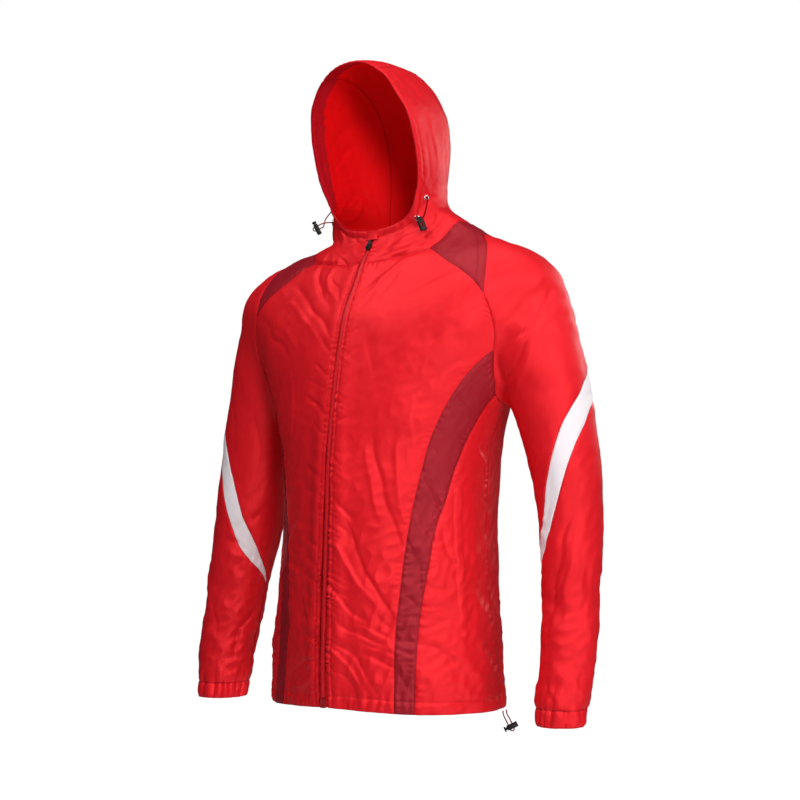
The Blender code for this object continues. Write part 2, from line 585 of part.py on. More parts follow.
def build_hood(lines, finishes):
    strip = []
    for side, word in ((1, "left"), (-1, "right")):
        s = lines[side]
        neck = join(s["neck_front"], s["neck_side"], s["neck_back"])
        collar = settle(s["collar"] + (side * ZIP_OPEN, 0, 0))
        collar[:, 0] = side * ZIP_OPEN
        neck[0] = collar[0]
        rim_line = np.array(HOOD_RIM, float)
        rim_side = rim_line[:12]
        rim = seam(rim_side, len(neck) - 1, side)
        rim[0] = collar[-1]
        crown = seam(HOOD_SEAM, CELLS["hood_height"], side)
        crown[-1] = neck[-1]
        rim[-1] = crown[0]
        rows = span(neck, rim, collar, crown[::-1])
        panel(f"hood_{word}", rows, finishes["red"])
        strip.append(crown)
    left, right = strip
    cells = CELLS["neck_back_middle"]
    rim_top = np.array(HOOD_RIM[11:], float)
    full = np.concatenate([rim_top, rim_top[-2::-1] * (-1, 1, 1)])
    rim = seam(full, cells)
    rim[0], rim[-1] = left[0], right[0]
    neck = join(lines[1]["neck_middle"], lines[-1]["neck_middle"][::-1])
    rows = span(neck, rim, left[::-1], right[::-1])
    panel("hood_centre", rows, finishes["red"])


def sleeve_columns(s, side):
    """For each armhole point, the line that the cloth follows from there down to the cuff."""
    armhole = join(s["armhole_under"], s["armhole_inset"], s["armhole_front"], s["armhole_over"], s["armhole_back"])
    at = np.cumsum([0] + [CELLS[part] for part in ARMHOLE_PARTS])
    degrees = np.interp(np.arange(len(armhole)), at, ARMHOLE_DEGREES)
    arm = ARMS[side][::-1]
    columns = []
    for point, angle in zip(armhole, np.radians(degrees)):
        start = point * (side, 1, 1)

        def ring(z):
            x, y, r = (np.interp(z, arm[:, 2], arm[:, k]) for k in (0, 1, 3))
            return np.stack([x + r * cos(angle), y - r * sin(angle), z], -1)

        end = ring(np.array([SLEEVE_HEAD_END]))[0]
        t = np.linspace(0, 1, 25)[:, None]
        over = np.array((1.0, 0.0, 0.6)) * SHOULDER_ROUND * max(cos(angle), 0) * 4 * t * (1 - t)
        beside = np.array((1.0, 0.0, 0.2)) * ARMHOLE_BOW * sin(angle) ** 2 * 6.75 * t * (1 - t) ** 2
        head = start + (end - start) * t + over + beside
        below = ring(np.linspace(SLEEVE_HEAD_END, CUFF_BOTTOM, 40))
        line = settle(np.vstack([head, below[1:]]) * (side, 1, 1))
        line[0] = point
        columns.append(line)
    return columns, degrees


def column_to(line, z):
    """The stretch of a sleeve column above a height."""
    keep = int(np.argmax(line[:, 2] < z))
    a, b = line[keep - 1], line[keep]
    cut = a + (b - a) * (z - a[2]) / (b[2] - a[2])
    return np.vstack([line[:keep], cut]), np.vstack([cut, line[keep:]])


def build_sleeves(lines, finishes):
    n = CELLS
    for side, word in ((1, "left"), (-1, "right")):
        columns, degrees = sleeve_columns(lines[side], side)
        upper, stripe, lower, cuff = [], [], [], []
        for line, angle in zip(columns, degrees):
            top, bottom = (np.interp(angle, STRIPE[:, 0], STRIPE[:, k]) for k in (1, 2))
            part, rest = column_to(line, top)
            upper.append(resample(part, n["sleeve_head"]))
            part, rest = column_to(rest, bottom)
            stripe.append(resample(part, n["stripe"]))
            part, rest = column_to(rest, CUFF_TOP)
            lower.append(resample(part, n["lower_sleeve"]))
            cuff.append(resample(rest, n["cuff"]))
        grids = [np.array(part).transpose(1, 0, 2) for part in (upper, stripe, lower, cuff)]
        panel(f"sleeve_upper_{word}", settle_inside(grids[0]), finishes["red"])
        panel(f"sleeve_stripe_{word}", settle_inside(grids[1]), finishes["stripe"])
        build_lower_sleeve(word, grids[2], grids[3], finishes)


def settle_inside(grid):
    grid = grid.copy()
    grid[1:-1] = settle(grid[1:-1])
    return even_out(grid, 2)


def build_lower_sleeve(word, lower, cuff, finishes):
    """The lower sleeve blouses over an elastic cuff and shares its gathers."""
    def doubled(row):
        out = np.empty((2 * len(row) - 1, 3))
        out[::2], out[1::2] = row, (row[:-1] + row[1:]) / 2
        return settle(out)

    ring_rows = [doubled(row) for row in cuff]
    waves = np.sin(2 * pi * CUFF_WAVES * np.arange(len(ring_rows[0])) / (len(ring_rows[0]) - 1))
    lower = settle_inside(lower)
    rows = [row for row in lower[:-1]] + [ring_rows[0]]
    share = np.linspace(0, 1, len(rows)) ** 6
    extra = [np.full(len(row), SLEEVE_BLOUSE * k * (1 - k) * 3.2) for row, k in zip(rows, share)]
    extra[-1] = CUFF_WAVE_HEIGHT * waves
    panel(f"sleeve_lower_{word}", rows, finishes["red"], extra=extra)
    fade = np.linspace(1, 0.6, len(ring_rows))
    extra = [CUFF_WAVE_HEIGHT * waves[:-1] * k for k in fade]
    panel(f"cuff_{word}", [row[:-1] for row in ring_rows], finishes["red"], closed=True, extra=extra)


# ---- zip ----------------------------------------------------------------------------------------
CHAIN_HALF = 0.0028
TAPE_REACH = 0.0150
TAPE_WALL = 0.0008
TAPE_LIFT = -0.0022      # the tapes lie this far inside the form, behind the fronts
TAPE_DIP = (0.0, -0.0003, -0.0015)   # and a little further at each column away from the chain
CHAIN_LIFT, CHAIN_WALL = -0.0002, 0.0014
GARAGE_HALF, GARAGE_FROM, GARAGE_TO = 0.0100, -0.0245, -0.0095
SLIDER_Z = -0.037
SLIDER_SIZE = (0.0084, 0.0112, 0.0022)     # across, along the zip, thick
PULL_LENGTH, PULL_WIDE, PULL_NARROW, PULL_THICK = 0.0140, 0.0078, 0.0045, 0.0009
BRIDGE = (0.0024, 0.0036, 0.0026)          # across, along, high
BRIDGE_HOLE = 0.0017


def strip_rows(line, x_values):
    """Rows across a line that runs up the middle, one for each of its points."""
    rows = []
    for point in line:
        row = settle([(x, point[1], point[2]) for x in x_values])
        row[:, 0] = x_values
        rows.append(row)
    return rows


def zip_frame(z):
    """Where the zip passes a height, with its outward and upward directions."""
    whole = join(seam(ZIP_LINE, SEAM_SAMPLES), seam(COLLAR_LINE, 60))
    place = np.array([np.interp(z, whole[:, 2], whole[:, k]) for k in range(3)])
    out = normals(place[None])[0]
    out[0] = 0
    out = Vector(out).normalized()
    up = Vector((1, 0, 0)).cross(out)
    up = up if up.z > 0 else -up
    return Vector(place), out, up


def build_zip(lines, finishes):
    middle = join(seam(ZIP_LINE, 26), seam(COLLAR_LINE, 4))
    middle = middle[middle[:, 2] < GARAGE_TO]
    for side, word in ((1, "left"), (-1, "right")):
        rows = strip_rows(middle, [side * 0.0002, side * ZIP_OPEN, side * TAPE_REACH])
        extra = [TAPE_DIP for row in rows]
        panel(f"zip_tape_{word}", rows, finishes["red"], wall=TAPE_WALL, lift=TAPE_LIFT, extra=extra)
    box_top = middle[0][2] + 0.012
    chain = middle[(middle[:, 2] > box_top) & (middle[:, 2] < SLIDER_Z + SLIDER_SIZE[1] / 2)]
    chain = np.vstack([[0, np.interp(box_top, middle[:, 2], middle[:, 1]), box_top], chain])
    rows = strip_rows(chain, [-CHAIN_HALF, 0.0, CHAIN_HALF])
    panel("zip_chain", rows, finishes["zip"], wall=CHAIN_WALL, lift=CHAIN_LIFT)

    place, out, up = zip_frame(box_top - 0.0065)
    box("zip_box", place - out * 0.0001, (0.0088, 0.0115, 0.0030), out, up, finishes["zip"], bevel=0.0005)

    levels = np.linspace(GARAGE_FROM, GARAGE_TO, 4)
    whole = join(seam(ZIP_LINE, SEAM_SAMPLES), seam(COLLAR_LINE, 60))
    line = np.array([[0, np.interp(z, whole[:, 2], whole[:, 1]), z] for z in levels])
    rows = strip_rows(line, np.linspace(-GARAGE_HALF, GARAGE_HALF, 5))
    panel("zip_garage", rows, finishes["red"], wall=STRAP_WALL, lift=LAID_GAP + STRAP_WALL)
    build_slider(finishes)


def box(name, centre, size, out, up, finish, bevel=0.0):
    """A box: size is across, along `up` and along `out`."""
    across = up.cross(out).normalized()
    turn = Matrix((across, up, out)).transposed().to_4x4()
    mesh = bpy.data.meshes.new(name)
    body = bmesh.new()
    bmesh.ops.create_cube(body, size=1.0)
    bmesh.ops.scale(body, vec=size, verts=body.verts)
    if bevel:
        bmesh.ops.bevel(body, geom=body.edges[:], offset=bevel, segments=1, affect="EDGES", profile=0.5)
    body.to_mesh(mesh)
    body.free()
    mesh.materials.append(finish)
    thing = bpy.data.objects.new(name, mesh)
    thing.matrix_world = Matrix.Translation(Vector(centre)) @ turn
    bpy.context.collection.objects.link(thing)
    return thing


def cut(body, tool):
    """A hole in the shape of the tool, which stays a hidden guide."""
    tool.hide_render = True
    tool.display_type = "WIRE"
    bite = body.modifiers.new("cut", "BOOLEAN")
    bite.operation = "DIFFERENCE"
    bite.object = tool
    bite.solver = "EXACT"


def add_to(body, tool):
    tool.hide_render = True
    tool.display_type = "WIRE"
    grow = body.modifiers.new("add", "BOOLEAN")
    grow.operation = "UNION"
    grow.object = tool
    grow.solver = "EXACT"


def build_slider(finishes):
    place, out, up = zip_frame(SLIDER_Z)
    across, along, thick = SLIDER_SIZE
    base = place + out * (CHAIN_LIFT + LAID_GAP + 0.0006)
    slider = box("zip_slider", base + out * thick / 2, SLIDER_SIZE, out, up, finishes["hard"], bevel=0.0006)
    foot = base + out * thick - up * along * 0.22
    arch = box("arch_form", foot + out * (BRIDGE[2] / 2 - 0.0003), BRIDGE, out, up, finishes["hard"])
    hole_at = foot + out * (BRIDGE[2] / 2 - 0.0002)
    hole = box("arch_hole", hole_at, (0.02, BRIDGE_HOLE, BRIDGE_HOLE), out, up, finishes["hard"])
    add_to(slider, arch)
    cut(slider, hole)

    bar = 0.0009
    half = [(-PULL_WIDE / 2, -bar / 2), (PULL_WIDE / 2, -bar / 2),
            (PULL_NARROW / 2, PULL_LENGTH), (-PULL_NARROW / 2, PULL_LENGTH)]
    mesh = bpy.data.meshes.new("zip_pull")
    body = bmesh.new()
    low = [body.verts.new((x, y, -PULL_THICK / 2)) for x, y in half]
    high = [body.verts.new((x, y, PULL_THICK / 2)) for x, y in half]
    body.faces.new(high)
    body.faces.new(low[::-1])
    for k in range(4):
        body.faces.new((low[k], low[(k + 1) % 4], high[(k + 1) % 4], high[k]))
    body.to_mesh(mesh)
    body.free()
    mesh.materials.append(finishes["hard"])
    pull = bpy.data.objects.new("zip_pull", mesh)
    side = up.cross(out).normalized()
    pull.matrix_world = Matrix.Translation(hole_at) @ Matrix((side, up, out)).transposed().to_4x4()
    bpy.context.collection.objects.link(pull)
    window_long = 0.0034
    window = box("pull_window", hole_at + up * (bar / 2 + window_long / 2),
                 (BRIDGE[0] + 0.0008, window_long, 0.01), out, up, finishes["hard"])
    cut(pull, window)


# ---- pockets, eyelets, toggles and cords --------------------------------------------------------
POCKET_TOP, POCKET_BOTTOM = (0.154, -0.057, -0.394), (0.170, -0.063, -0.598)
WELT_HALF, WELT_CELLS = 0.0080, 9
EYELETS = {
    "upper_left": (0.0834, -0.030, 0.032), "lower_left": (0.073, -0.0366, 0.0015),
    "upper_right": (-0.090, -0.017, 0.040), "lower_right": (-0.095, -0.025, 0.0189),
}
EYELET_OUTER, EYELET_INNER, EYELET_THICK = 0.0042, 0.0022, 0.0012
CORD_THICK = 0.0018

BARREL = (0.0100, 0.0068, 0.0153)      # across, through the slot, along
BARREL_MIDDLE = -0.00135               # its middle along the toggle's axis
SLOT_WIDE, SLOT_TALL = 0.0024, 0.0093
BORE = (0.0068, 0.0040)
SHAFT = (0.0062, 0.0034)
SHAFT_FROM, SHAFT_TO = -0.0049, 0.0092
SHAFT_SLOT_FROM, SHAFT_SLOT_TO = -0.00345, 0.00725
CAP = (0.0086, 0.0064, 0.0023)
CAP_FROM = 0.0089
BORE_FLOOR = -0.0077
CORD_LEVELS = (0.0034, -0.0022)        # where the two strands cross the toggle, along its axis
LOOP_RADIUS = 0.0028

# Each toggle: its middle, the way its button points, and the way the cord runs through it.
TOGGLES = {
    "hood_left": dict(at=(0.0900, -0.0505, -0.0120), axis=(-0.28, -0.20, 0.94), through=(0.60, -0.78, 0.0)),
    "hood_right": dict(at=(-0.1068, -0.0450, 0.0075), axis=(-0.37, -0.26, 0.89), through=(-0.82, -0.57, 0.0)),
    "hem_left": dict(at=(0.1926, 0.0200, -0.7265), axis=(-0.737, -0.517, -0.43), through=(0.352, 0.247, -0.90)),
}
HEM_CORD_EXITS = ((0.1835, 0.0220, -0.7045), (0.1835, 0.0125, -0.7050))


def build_pockets(lines, finishes):
    for side, word in ((1, "left"), (-1, "right")):
        top, bottom = np.array(POCKET_TOP), np.array(POCKET_BOTTOM)
        middle = settle(np.linspace(bottom, top, WELT_CELLS + 1) * (side, 1, 1))
        out = normals(middle)
        across = np.cross(out, np.gradient(middle, axis=0))
        across /= np.linalg.norm(across, axis=1)[:, None]
        rows = [settle(middle[k] + across[k] * np.array([[-WELT_HALF], [0], [WELT_HALF]])) for k in range(len(middle))]
        panel(f"pocket_welt_{word}", rows, finishes["red"], wall=STRAP_WALL, lift=LAID_GAP + STRAP_WALL)


def surface_at(point, reach):
    """Where a flat disc rests on the hood: its middle and its outward direction."""
    hood = bpy.data.objects["hood_left" if point[0] > 0 else "hood_right"].data
    cloth = BVHTree.FromPolygons([v.co for v in hood.vertices], [f.vertices[:] for f in hood.polygons])
    place = settle(np.array([point]))
    out = Vector(normals(place)[0]).normalized()
    place = Vector(place[0])
    across = out.orthogonal().normalized()
    high = 0.0
    for k in range(12):
        spot = place + Matrix.Rotation(pi * k / 6, 3, out) @ across * reach
        for start in (spot, place + (spot - place) * 0.5):
            found = cloth.ray_cast(start + out * 0.02, -out)[0]
            high = max(high, (found - place).dot(out)) if found else high
    return place + out * high, out


def build_eyelets(finishes):
    for name, point in EYELETS.items():
        place, out = surface_at(point, EYELET_OUTER)
        mesh = bpy.data.meshes.new(f"eyelet_{name}")
        body = bmesh.new()
        turns = 14
        profile = [(EYELET_INNER, 0.0), (EYELET_OUTER, 0.0), (EYELET_OUTER, EYELET_THICK * 0.5),
                   (EYELET_OUTER * 0.8, EYELET_THICK), (EYELET_INNER, EYELET_THICK * 0.7)]
        rings = [[body.verts.new((r * cos(2 * pi * k / turns), r * sin(2 * pi * k / turns), z))
                  for r, z in profile] for k in range(turns)]
        for k in range(turns):
            for j in range(len(profile)):
                a, b = rings[k], rings[(k + 1) % turns]
                i = (j + 1) % len(profile)
                body.faces.new((a[j], b[j], b[i], a[i]))
        bmesh.ops.recalc_face_normals(body, faces=body.faces)
        body.to_mesh(mesh)
        body.free()
        mesh.shade_smooth()
        mesh.set_sharp_from_angle(angle=radians(40))
        mesh.materials.append(finishes["steel"])
        ring = bpy.data.objects.new(f"eyelet_{name}", mesh)
        turn = out.to_track_quat("Z", "Y").to_matrix().to_4x4()
        ring.matrix_world = Matrix.Translation(place + out * LAID_GAP) @ turn
        bpy.context.collection.objects.link(ring)


def toggle_frame(name):
    spec = TOGGLES[name]
    axis = Vector(spec["axis"]).normalized()
    through = Vector(spec["through"])
    through = (through - axis * through.dot(axis)).normalized()
    return Vector(spec["at"]), axis, through


def build_toggle(name, finishes):
    at, axis, through = toggle_frame(name)
    hard = finishes["hard"]

    def block(label, low, high, wide, deep, bevel=0.0):
        return box(label, at + axis * (low + high) / 2, (wide, high - low, deep), through, axis, hard, bevel)

    low = BARREL_MIDDLE - BARREL[2] / 2
    barrel = block(f"toggle_{name}", low, low + BARREL[2], BARREL[0], BARREL[1], bevel=0.0010)
    cut(barrel, block(f"bore_{name}", BORE_FLOOR, 0.02, *BORE))
    cut(barrel, block(f"slot_{name}", -SLOT_TALL / 2, SLOT_TALL / 2, SLOT_WIDE, 0.02))
    plunger = block(f"toggle_button_{name}", CAP_FROM, CAP_FROM + CAP[2], CAP[0], CAP[1], bevel=0.0007)
    add_to(plunger, block(f"shaft_{name}", SHAFT_FROM, SHAFT_TO, *SHAFT))
    cut(plunger, block(f"shaft_slot_{name}", SHAFT_SLOT_FROM, SHAFT_SLOT_TO, SLOT_WIDE, 0.02))


def smooth_path(points, spacing):
    """A smooth curve through hand-placed points, read at even steps."""
    points = np.array([tuple(p) for p in points])
    knots = np.concatenate([[0], np.cumsum(np.linalg.norm(np.diff(points, axis=0), axis=1) ** 0.5)])
    line = smooth_rows(knots, points, np.linspace(0, knots[-1], 600))
    length = np.linalg.norm(np.diff(line, axis=0), axis=1).sum()
    return resample(line, max(2, round(length / spacing)))


def through_toggle(name, first_level, second_level):
    """The cord's points through a toggle: in, round a small loop in front, and back."""
    at, axis, through = toggle_frame(name)
    middle = (first_level + second_level) / 2
    sign = 1 if first_level > second_level else -1
    inside, outside = -0.0060, BARREL[1] / 2 + 0.0002
    points = [at + axis * first_level + through * inside, at + axis * first_level + through * outside]
    for k in range(1, 6):
        angle = pi * k / 6
        points.append(at + axis * (middle + sign * LOOP_RADIUS * cos(angle))
                      + through * (outside + LOOP_RADIUS * sin(angle)))
    points += [at + axis * second_level + through * outside, at + axis * second_level + through * inside]
    return points


def cord(name, points, finish):
    path = smooth_path(points, CORD_THICK * 2)
    curve = bpy.data.curves.new(name, "CURVE")
    curve.dimensions = "3D"
    curve.bevel_depth = CORD_THICK / 2
    curve.bevel_resolution = 2
    curve.render_resolution_u = 0
    curve.use_fill_caps = True
    spline = curve.splines.new("POLY")
    spline.points.add(len(path) - 1)
    for point, place in zip(spline.points, path):
        point.co = (*place, 1)
    curve.materials.append(finish)
    bpy.context.collection.objects.link(bpy.data.objects.new(name, curve))


def build_cords(finishes):
    high, low = CORD_LEVELS
    # On the right the strands cross as they come to the lock, and pass each other 4 mm apart.
    for word, levels, apart in (("left", (high, low), 0.0), ("right", (low, high), 0.005)):
        upper, upper_out = surface_at(EYELETS[f"upper_{word}"], EYELET_OUTER)
        lower, lower_out = surface_at(EYELETS[f"lower_{word}"], EYELET_OUTER)
        at, axis, through = toggle_frame(f"hood_{word}")
        clear = LAID_GAP
        crossing = through_toggle(f"hood_{word}", *levels)
        start, end = crossing[0], crossing[-1]
        sideways = through.cross(axis) * apart
        drop = (upper + start) / 2 + upper_out * 0.0055 + sideways
        route = [upper + upper_out * clear, upper + upper_out * 0.0035, drop, start - through * 0.0030]
        route += crossing[0:]
        route.append(end - through * 0.0030)
        if apart:
            route.append((lower + end) / 2 - sideways + lower_out * 0.0020)
        route += [lower + lower_out * 0.0045, lower + lower_out * clear]
        cord(f"hood_cord_{word}", route, finishes["cord"])
    crossing = through_toggle("hem_left", low, high)
    at, axis, through = toggle_frame("hem_left")
    first, second = (Vector(p) for p in HEM_CORD_EXITS)
    route = [first, first - Vector((0, 0, 0.004)), crossing[0] - through * 0.004]
    route += crossing
    route += [crossing[-1] - through * 0.004, second - Vector((0, 0, 0.004)), second]
    cord("hem_cord_left", route, finishes["cord"])


def main():
    for thing in list(bpy.data.objects):
        bpy.data.objects.remove(thing)
    finishes = dict(
        red=material("red_shell", (0.72, 0.010, 0.018), 0.45),
        dark=material("dark_red_shell", (0.42, 0.012, 0.022), 0.45),
        stripe=material("white_stripe", (0.90, 0.86, 0.88), 0.5),
        zip=material("zip_red", (0.50, 0.008, 0.014), 0.5),
        hard=material("black_plastic", (0.012, 0.012, 0.014), 0.35),
        steel=material("eyelet_steel", (0.62, 0.62, 0.64), 0.25, 1.0),
        cord=material("cord_red", (0.36, 0.006, 0.012), 0.6),
    )
    lines = {side: side_seams(side) for side in (1, -1)}
    build_torso(lines, finishes)
    build_hood(lines, finishes)
    build_sleeves(lines, finishes)
    build_zip(lines, finishes)
    build_pockets(lines, finishes)
    build_eyelets(finishes)
    for name in TOGGLES:
        build_toggle(name, finishes)
    build_cords(finishes)


main()
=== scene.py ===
"""A men's hooded zip-front windbreaker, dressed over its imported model.

Metres, +Z up.  The jacket's front looks along -Y and the wearer's left is +X.  The cloth lies on one
smooth form; its panels are grids between their seams, lifted and sunk by a table of folds.
"""
from functools import partial
from math import atan, cos, pi, radians, sin

import bmesh
import bpy
import numpy as np
from mathutils import Matrix, Vector


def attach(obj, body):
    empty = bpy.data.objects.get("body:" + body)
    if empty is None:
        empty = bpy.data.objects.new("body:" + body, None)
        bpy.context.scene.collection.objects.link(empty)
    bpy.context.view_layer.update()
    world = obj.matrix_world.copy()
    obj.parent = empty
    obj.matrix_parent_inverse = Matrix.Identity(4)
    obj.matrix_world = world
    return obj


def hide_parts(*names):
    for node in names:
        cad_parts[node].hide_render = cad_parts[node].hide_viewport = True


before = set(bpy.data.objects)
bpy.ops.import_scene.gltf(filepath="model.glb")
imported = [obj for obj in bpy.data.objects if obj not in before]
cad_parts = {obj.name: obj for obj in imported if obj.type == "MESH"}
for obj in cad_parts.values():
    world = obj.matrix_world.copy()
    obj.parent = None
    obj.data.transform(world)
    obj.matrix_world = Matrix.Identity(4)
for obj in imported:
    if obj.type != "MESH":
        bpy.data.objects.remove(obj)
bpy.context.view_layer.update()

scene = bpy.context.scene
JACKET = "jacket"
SIDES = ((1, "left"), (-1, "right"))

# ---- camera, light and floor --------------------------------------------------------------------
CAMERA_AT = (1.176, -1.679, -0.453)
CAMERA_LENS = 61.8
TURN = radians(35)                  # the camera stands this far round to the wearer's left
FOCAL_PIXELS = 1373.5               # the lens, in pixels of the photograph
AIM_RIGHT, AIM_UP = 9 / FOCAL_PIXELS, 130 / FOCAL_PIXELS
FLOOR_Z = -1.45
LIT_MIDDLE = Vector((0, 0, -0.25))


def build_camera():
    ahead, right = Vector((-sin(TURN), cos(TURN), 0)), Vector((cos(TURN), sin(TURN), 0))
    yaw, pitch = atan(AIM_RIGHT), atan(AIM_UP)
    look = (ahead * cos(yaw) + right * sin(yaw)) * cos(pitch) + Vector((0, 0, sin(pitch)))
    lens = bpy.data.cameras.new("camera")
    lens.lens, lens.sensor_width = CAMERA_LENS, 36
    camera = bpy.data.objects.new("camera", lens)
    camera.location = CAMERA_AT
    camera.rotation_euler = look.to_track_quat("-Z", "Y").to_euler()
    scene.collection.objects.link(camera)
    scene.camera = camera


def softbox(name, at, toward, size, power):
    lamp = bpy.data.lights.new(name, "AREA")
    lamp.shape, lamp.size, lamp.size_y = "RECTANGLE", size[0], size[1]
    lamp.energy = power
    box = bpy.data.objects.new(name, lamp)
    box.location = at
    box.rotation_euler = (Vector(toward) - Vector(at)).to_track_quat("-Z", "Y").to_euler()
    scene.collection.objects.link(box)


LAMPS = dict(      # name: degrees to the camera's right, height in degrees, size, power
    front=(8, 20, 0.5, 32),
    above=(15, 78, 0.9, 16),
    left_high=(-62, 52, 0.5, 21),
    low=(35, -20, 0.6, 12),
    side=(62, 32, 0.7, 12),
    behind=(130, 20, 0.9, 11),
)
LAMP_REACH = 2.4
AIR_LIGHT = 0.02                    # what the pale surroundings give; the camera sees them white


def build_studio():
    world = bpy.data.worlds.new("studio")
    world.use_nodes = True
    tree = world.node_tree
    path = tree.nodes.new("ShaderNodeLightPath")
    level = tree.nodes.new("ShaderNodeMapRange")
    level.inputs["To Min"].default_value, level.inputs["To Max"].default_value = AIR_LIGHT, 1.0
    tree.links.new(path.outputs["Is Camera Ray"], level.inputs["Value"])
    tree.links.new(level.outputs["Result"], tree.nodes["Background"].inputs["Strength"])
    tree.nodes["Background"].inputs["Color"].default_value = (1, 1, 1, 1)
    scene.world = world
    scene.view_settings.view_transform = "Standard"
    for name, (round_by, height, size, power) in LAMPS.items():
        bearing = TURN + radians(round_by)
        flat = Vector((sin(bearing), -cos(bearing), 0))
        reach = flat * cos(radians(height)) + Vector((0, 0, sin(radians(height))))
        softbox(name, LIT_MIDDLE + reach * LAMP_REACH, LIT_MIDDLE, (size, size), power)
    bpy.ops.mesh.primitive_plane_add(size=30, location=(0, 0, FLOOR_Z))
    floor = bpy.context.object
    floor.name = "floor"
    paint = bpy.data.materials.new("pale_floor")
    paint.use_nodes = True
    shader = paint.node_tree.nodes["Principled BSDF"]
    shader.inputs["Base Color"].default_value = (0.80, 0.80, 0.80, 1)
    shader.inputs["Roughness"].default_value = 0.9
    seen = paint.node_tree.nodes.new("ShaderNodeLightPath")
    paint.node_tree.links.new(seen.outputs["Is Camera Ray"], shader.inputs["Emission Strength"])
    shader.inputs["Emission Color"].default_value = (1, 1, 1, 1)
    floor.data.materials.append(paint)


# ---- the worn form: torso sections, arm rings and the hood's egg ----------------------------------
# columns: z, half_width, front, back, power, middle_y
BODY = np.array([
    (-0.760, 0.186, 0.159, 0.133, 1.70, -0.028),
    (-0.640, 0.184, 0.163, 0.130, 1.70, -0.028),
    (-0.540, 0.172, 0.160, 0.143, 1.70, -0.028),
    (-0.440, 0.166, 0.156, 0.156, 1.70, -0.026),
    (-0.350, 0.169, 0.152, 0.158, 1.75, -0.022),
    (-0.270, 0.189, 0.142, 0.150, 1.90, -0.015),
    (-0.200, 0.218, 0.129, 0.140, 2.10, -0.006),
    (-0.140, 0.247, 0.113, 0.130, 2.20, 0.000),
    (-0.095, 0.264, 0.090, 0.118, 2.20, 0.003),
    (-0.060, 0.233, 0.072, 0.102, 2.20, 0.005),
    (-0.030, 0.174, 0.052, 0.090, 2.30, 0.005),
    (-0.005, 0.134, 0.038, 0.080, 3.00, 0.005),
    (0.030, 0.084, 0.036, 0.068, 3.00, 0.005),
    (0.060, 0.060, 0.035, 0.050, 3.00, 0.005),
])
BODY_TOP = 0.070
# The collar stands steeper on the wearer's right: how much narrower the torso's sections are there.
# columns: z, narrower
RIGHT_NECK = np.array([
    (-0.0450, 0.000), (-0.0312, 0.006), (-0.0226, 0.028), (-0.0152, 0.044), (-0.0050, 0.029),
    (0.0120, 0.004), (0.0220, -0.007), (0.0450, 0.000),
])
BACK_POWER = 2.2

# columns: x, y, z, radius
LEFT_ARM = np.array([
    (0.150, 0.018, -0.120, 0.070),
    (0.231, 0.024, -0.125, 0.046),
    (0.248, 0.017, -0.210, 0.059),
    (0.274, 0.019, -0.320, 0.054),
    (0.290, 0.015, -0.420, 0.047),
    (0.297, 0.004, -0.520, 0.042),
    (0.300, -0.014, -0.620, 0.038),
    (0.299, -0.029, -0.690, 0.035),
    (0.298, -0.034, -0.720, 0.034),
])
RIGHT_ARM = np.array([
    (0.150, 0.018, -0.120, 0.070),
    (0.212, 0.021, -0.125, 0.071),
    (0.246, 0.020, -0.210, 0.065),
    (0.273, 0.021, -0.320, 0.059),
    (0.287, 0.017, -0.420, 0.057),
    (0.297, 0.003, -0.520, 0.051),
    (0.301, -0.015, -0.620, 0.045),
    (0.300, -0.030, -0.690, 0.041),
    (0.299, -0.036, -0.720, 0.040),
])
ARM_STEPS, ARM_BLEND = 4, 0.035
HOOD_MIDDLE = np.array((0.0, -0.015, 0.115))
HOOD_RADII = np.array((0.097, 0.098, 0.132))
HOOD_FRONT, HOOD_POWER, HOOD_BLEND = 0.175, 2.2, 0.030
CHIN_Y, CHIN_Z, CHIN_SLOPE, CHIN_ROUND = -0.040, -0.006, 0.90, 0.020

# ---- seams, drawn on the wearer's left: x, y, z ---------------------------------------------------
NECK_FRONT = [(0.0, -0.074, -0.0615), (0.046, -0.070, -0.058), (0.075, -0.064, -0.052),
              (0.106, -0.056, -0.047)]
NECK_SIDE = [(0.106, -0.056, -0.047), (0.121, -0.038, -0.026), (0.130, -0.007, -0.003),
             (0.125, 0.025, 0.001), (0.106, 0.052, -0.003)]
NECK_BACK = [(0.106, 0.052, -0.003), (0.062, 0.072, 0.000), (0.050, 0.075, 0.001), (0.0, 0.080, 0.002)]
YOKE_FRONT = [(0.106, -0.056, -0.047), (0.144, -0.0675, -0.073), (0.169, -0.0705, -0.0895),
              (0.192, -0.072, -0.109), (0.204, -0.069, -0.126)]
YOKE_BACK = [(0.106, 0.052, -0.003), (0.145, 0.070, -0.045), (0.180, 0.082, -0.085), (0.204, 0.086, -0.125)]
ARMHOLE_UNDER = [(0.190, 0.022, -0.272), (0.191, 0.000, -0.272), (0.194, -0.020, -0.265)]
ARMHOLE_INSET = [(0.194, -0.020, -0.265), (0.202, -0.038, -0.235), (0.208, -0.048, -0.204)]
ARMHOLE_FRONT = [(0.208, -0.048, -0.204), (0.212, -0.052, -0.185), (0.213, -0.060, -0.161),
                 (0.2086, -0.067, -0.138), (0.204, -0.069, -0.126)]
ARMHOLE_OVER = [(0.204, -0.069, -0.126), (0.202, -0.059, -0.087), (0.188, -0.032, -0.048),
                (0.168, -0.002, -0.027), (0.172, 0.025, -0.030), (0.187, 0.056, -0.055),
                (0.201, 0.078, -0.090), (0.204, 0.086, -0.125)]
ARMHOLE_BACK = [(0.204, 0.086, -0.125), (0.213, 0.086, -0.165), (0.211, 0.075, -0.205),
                (0.203, 0.054, -0.245), (0.190, 0.022, -0.272)]
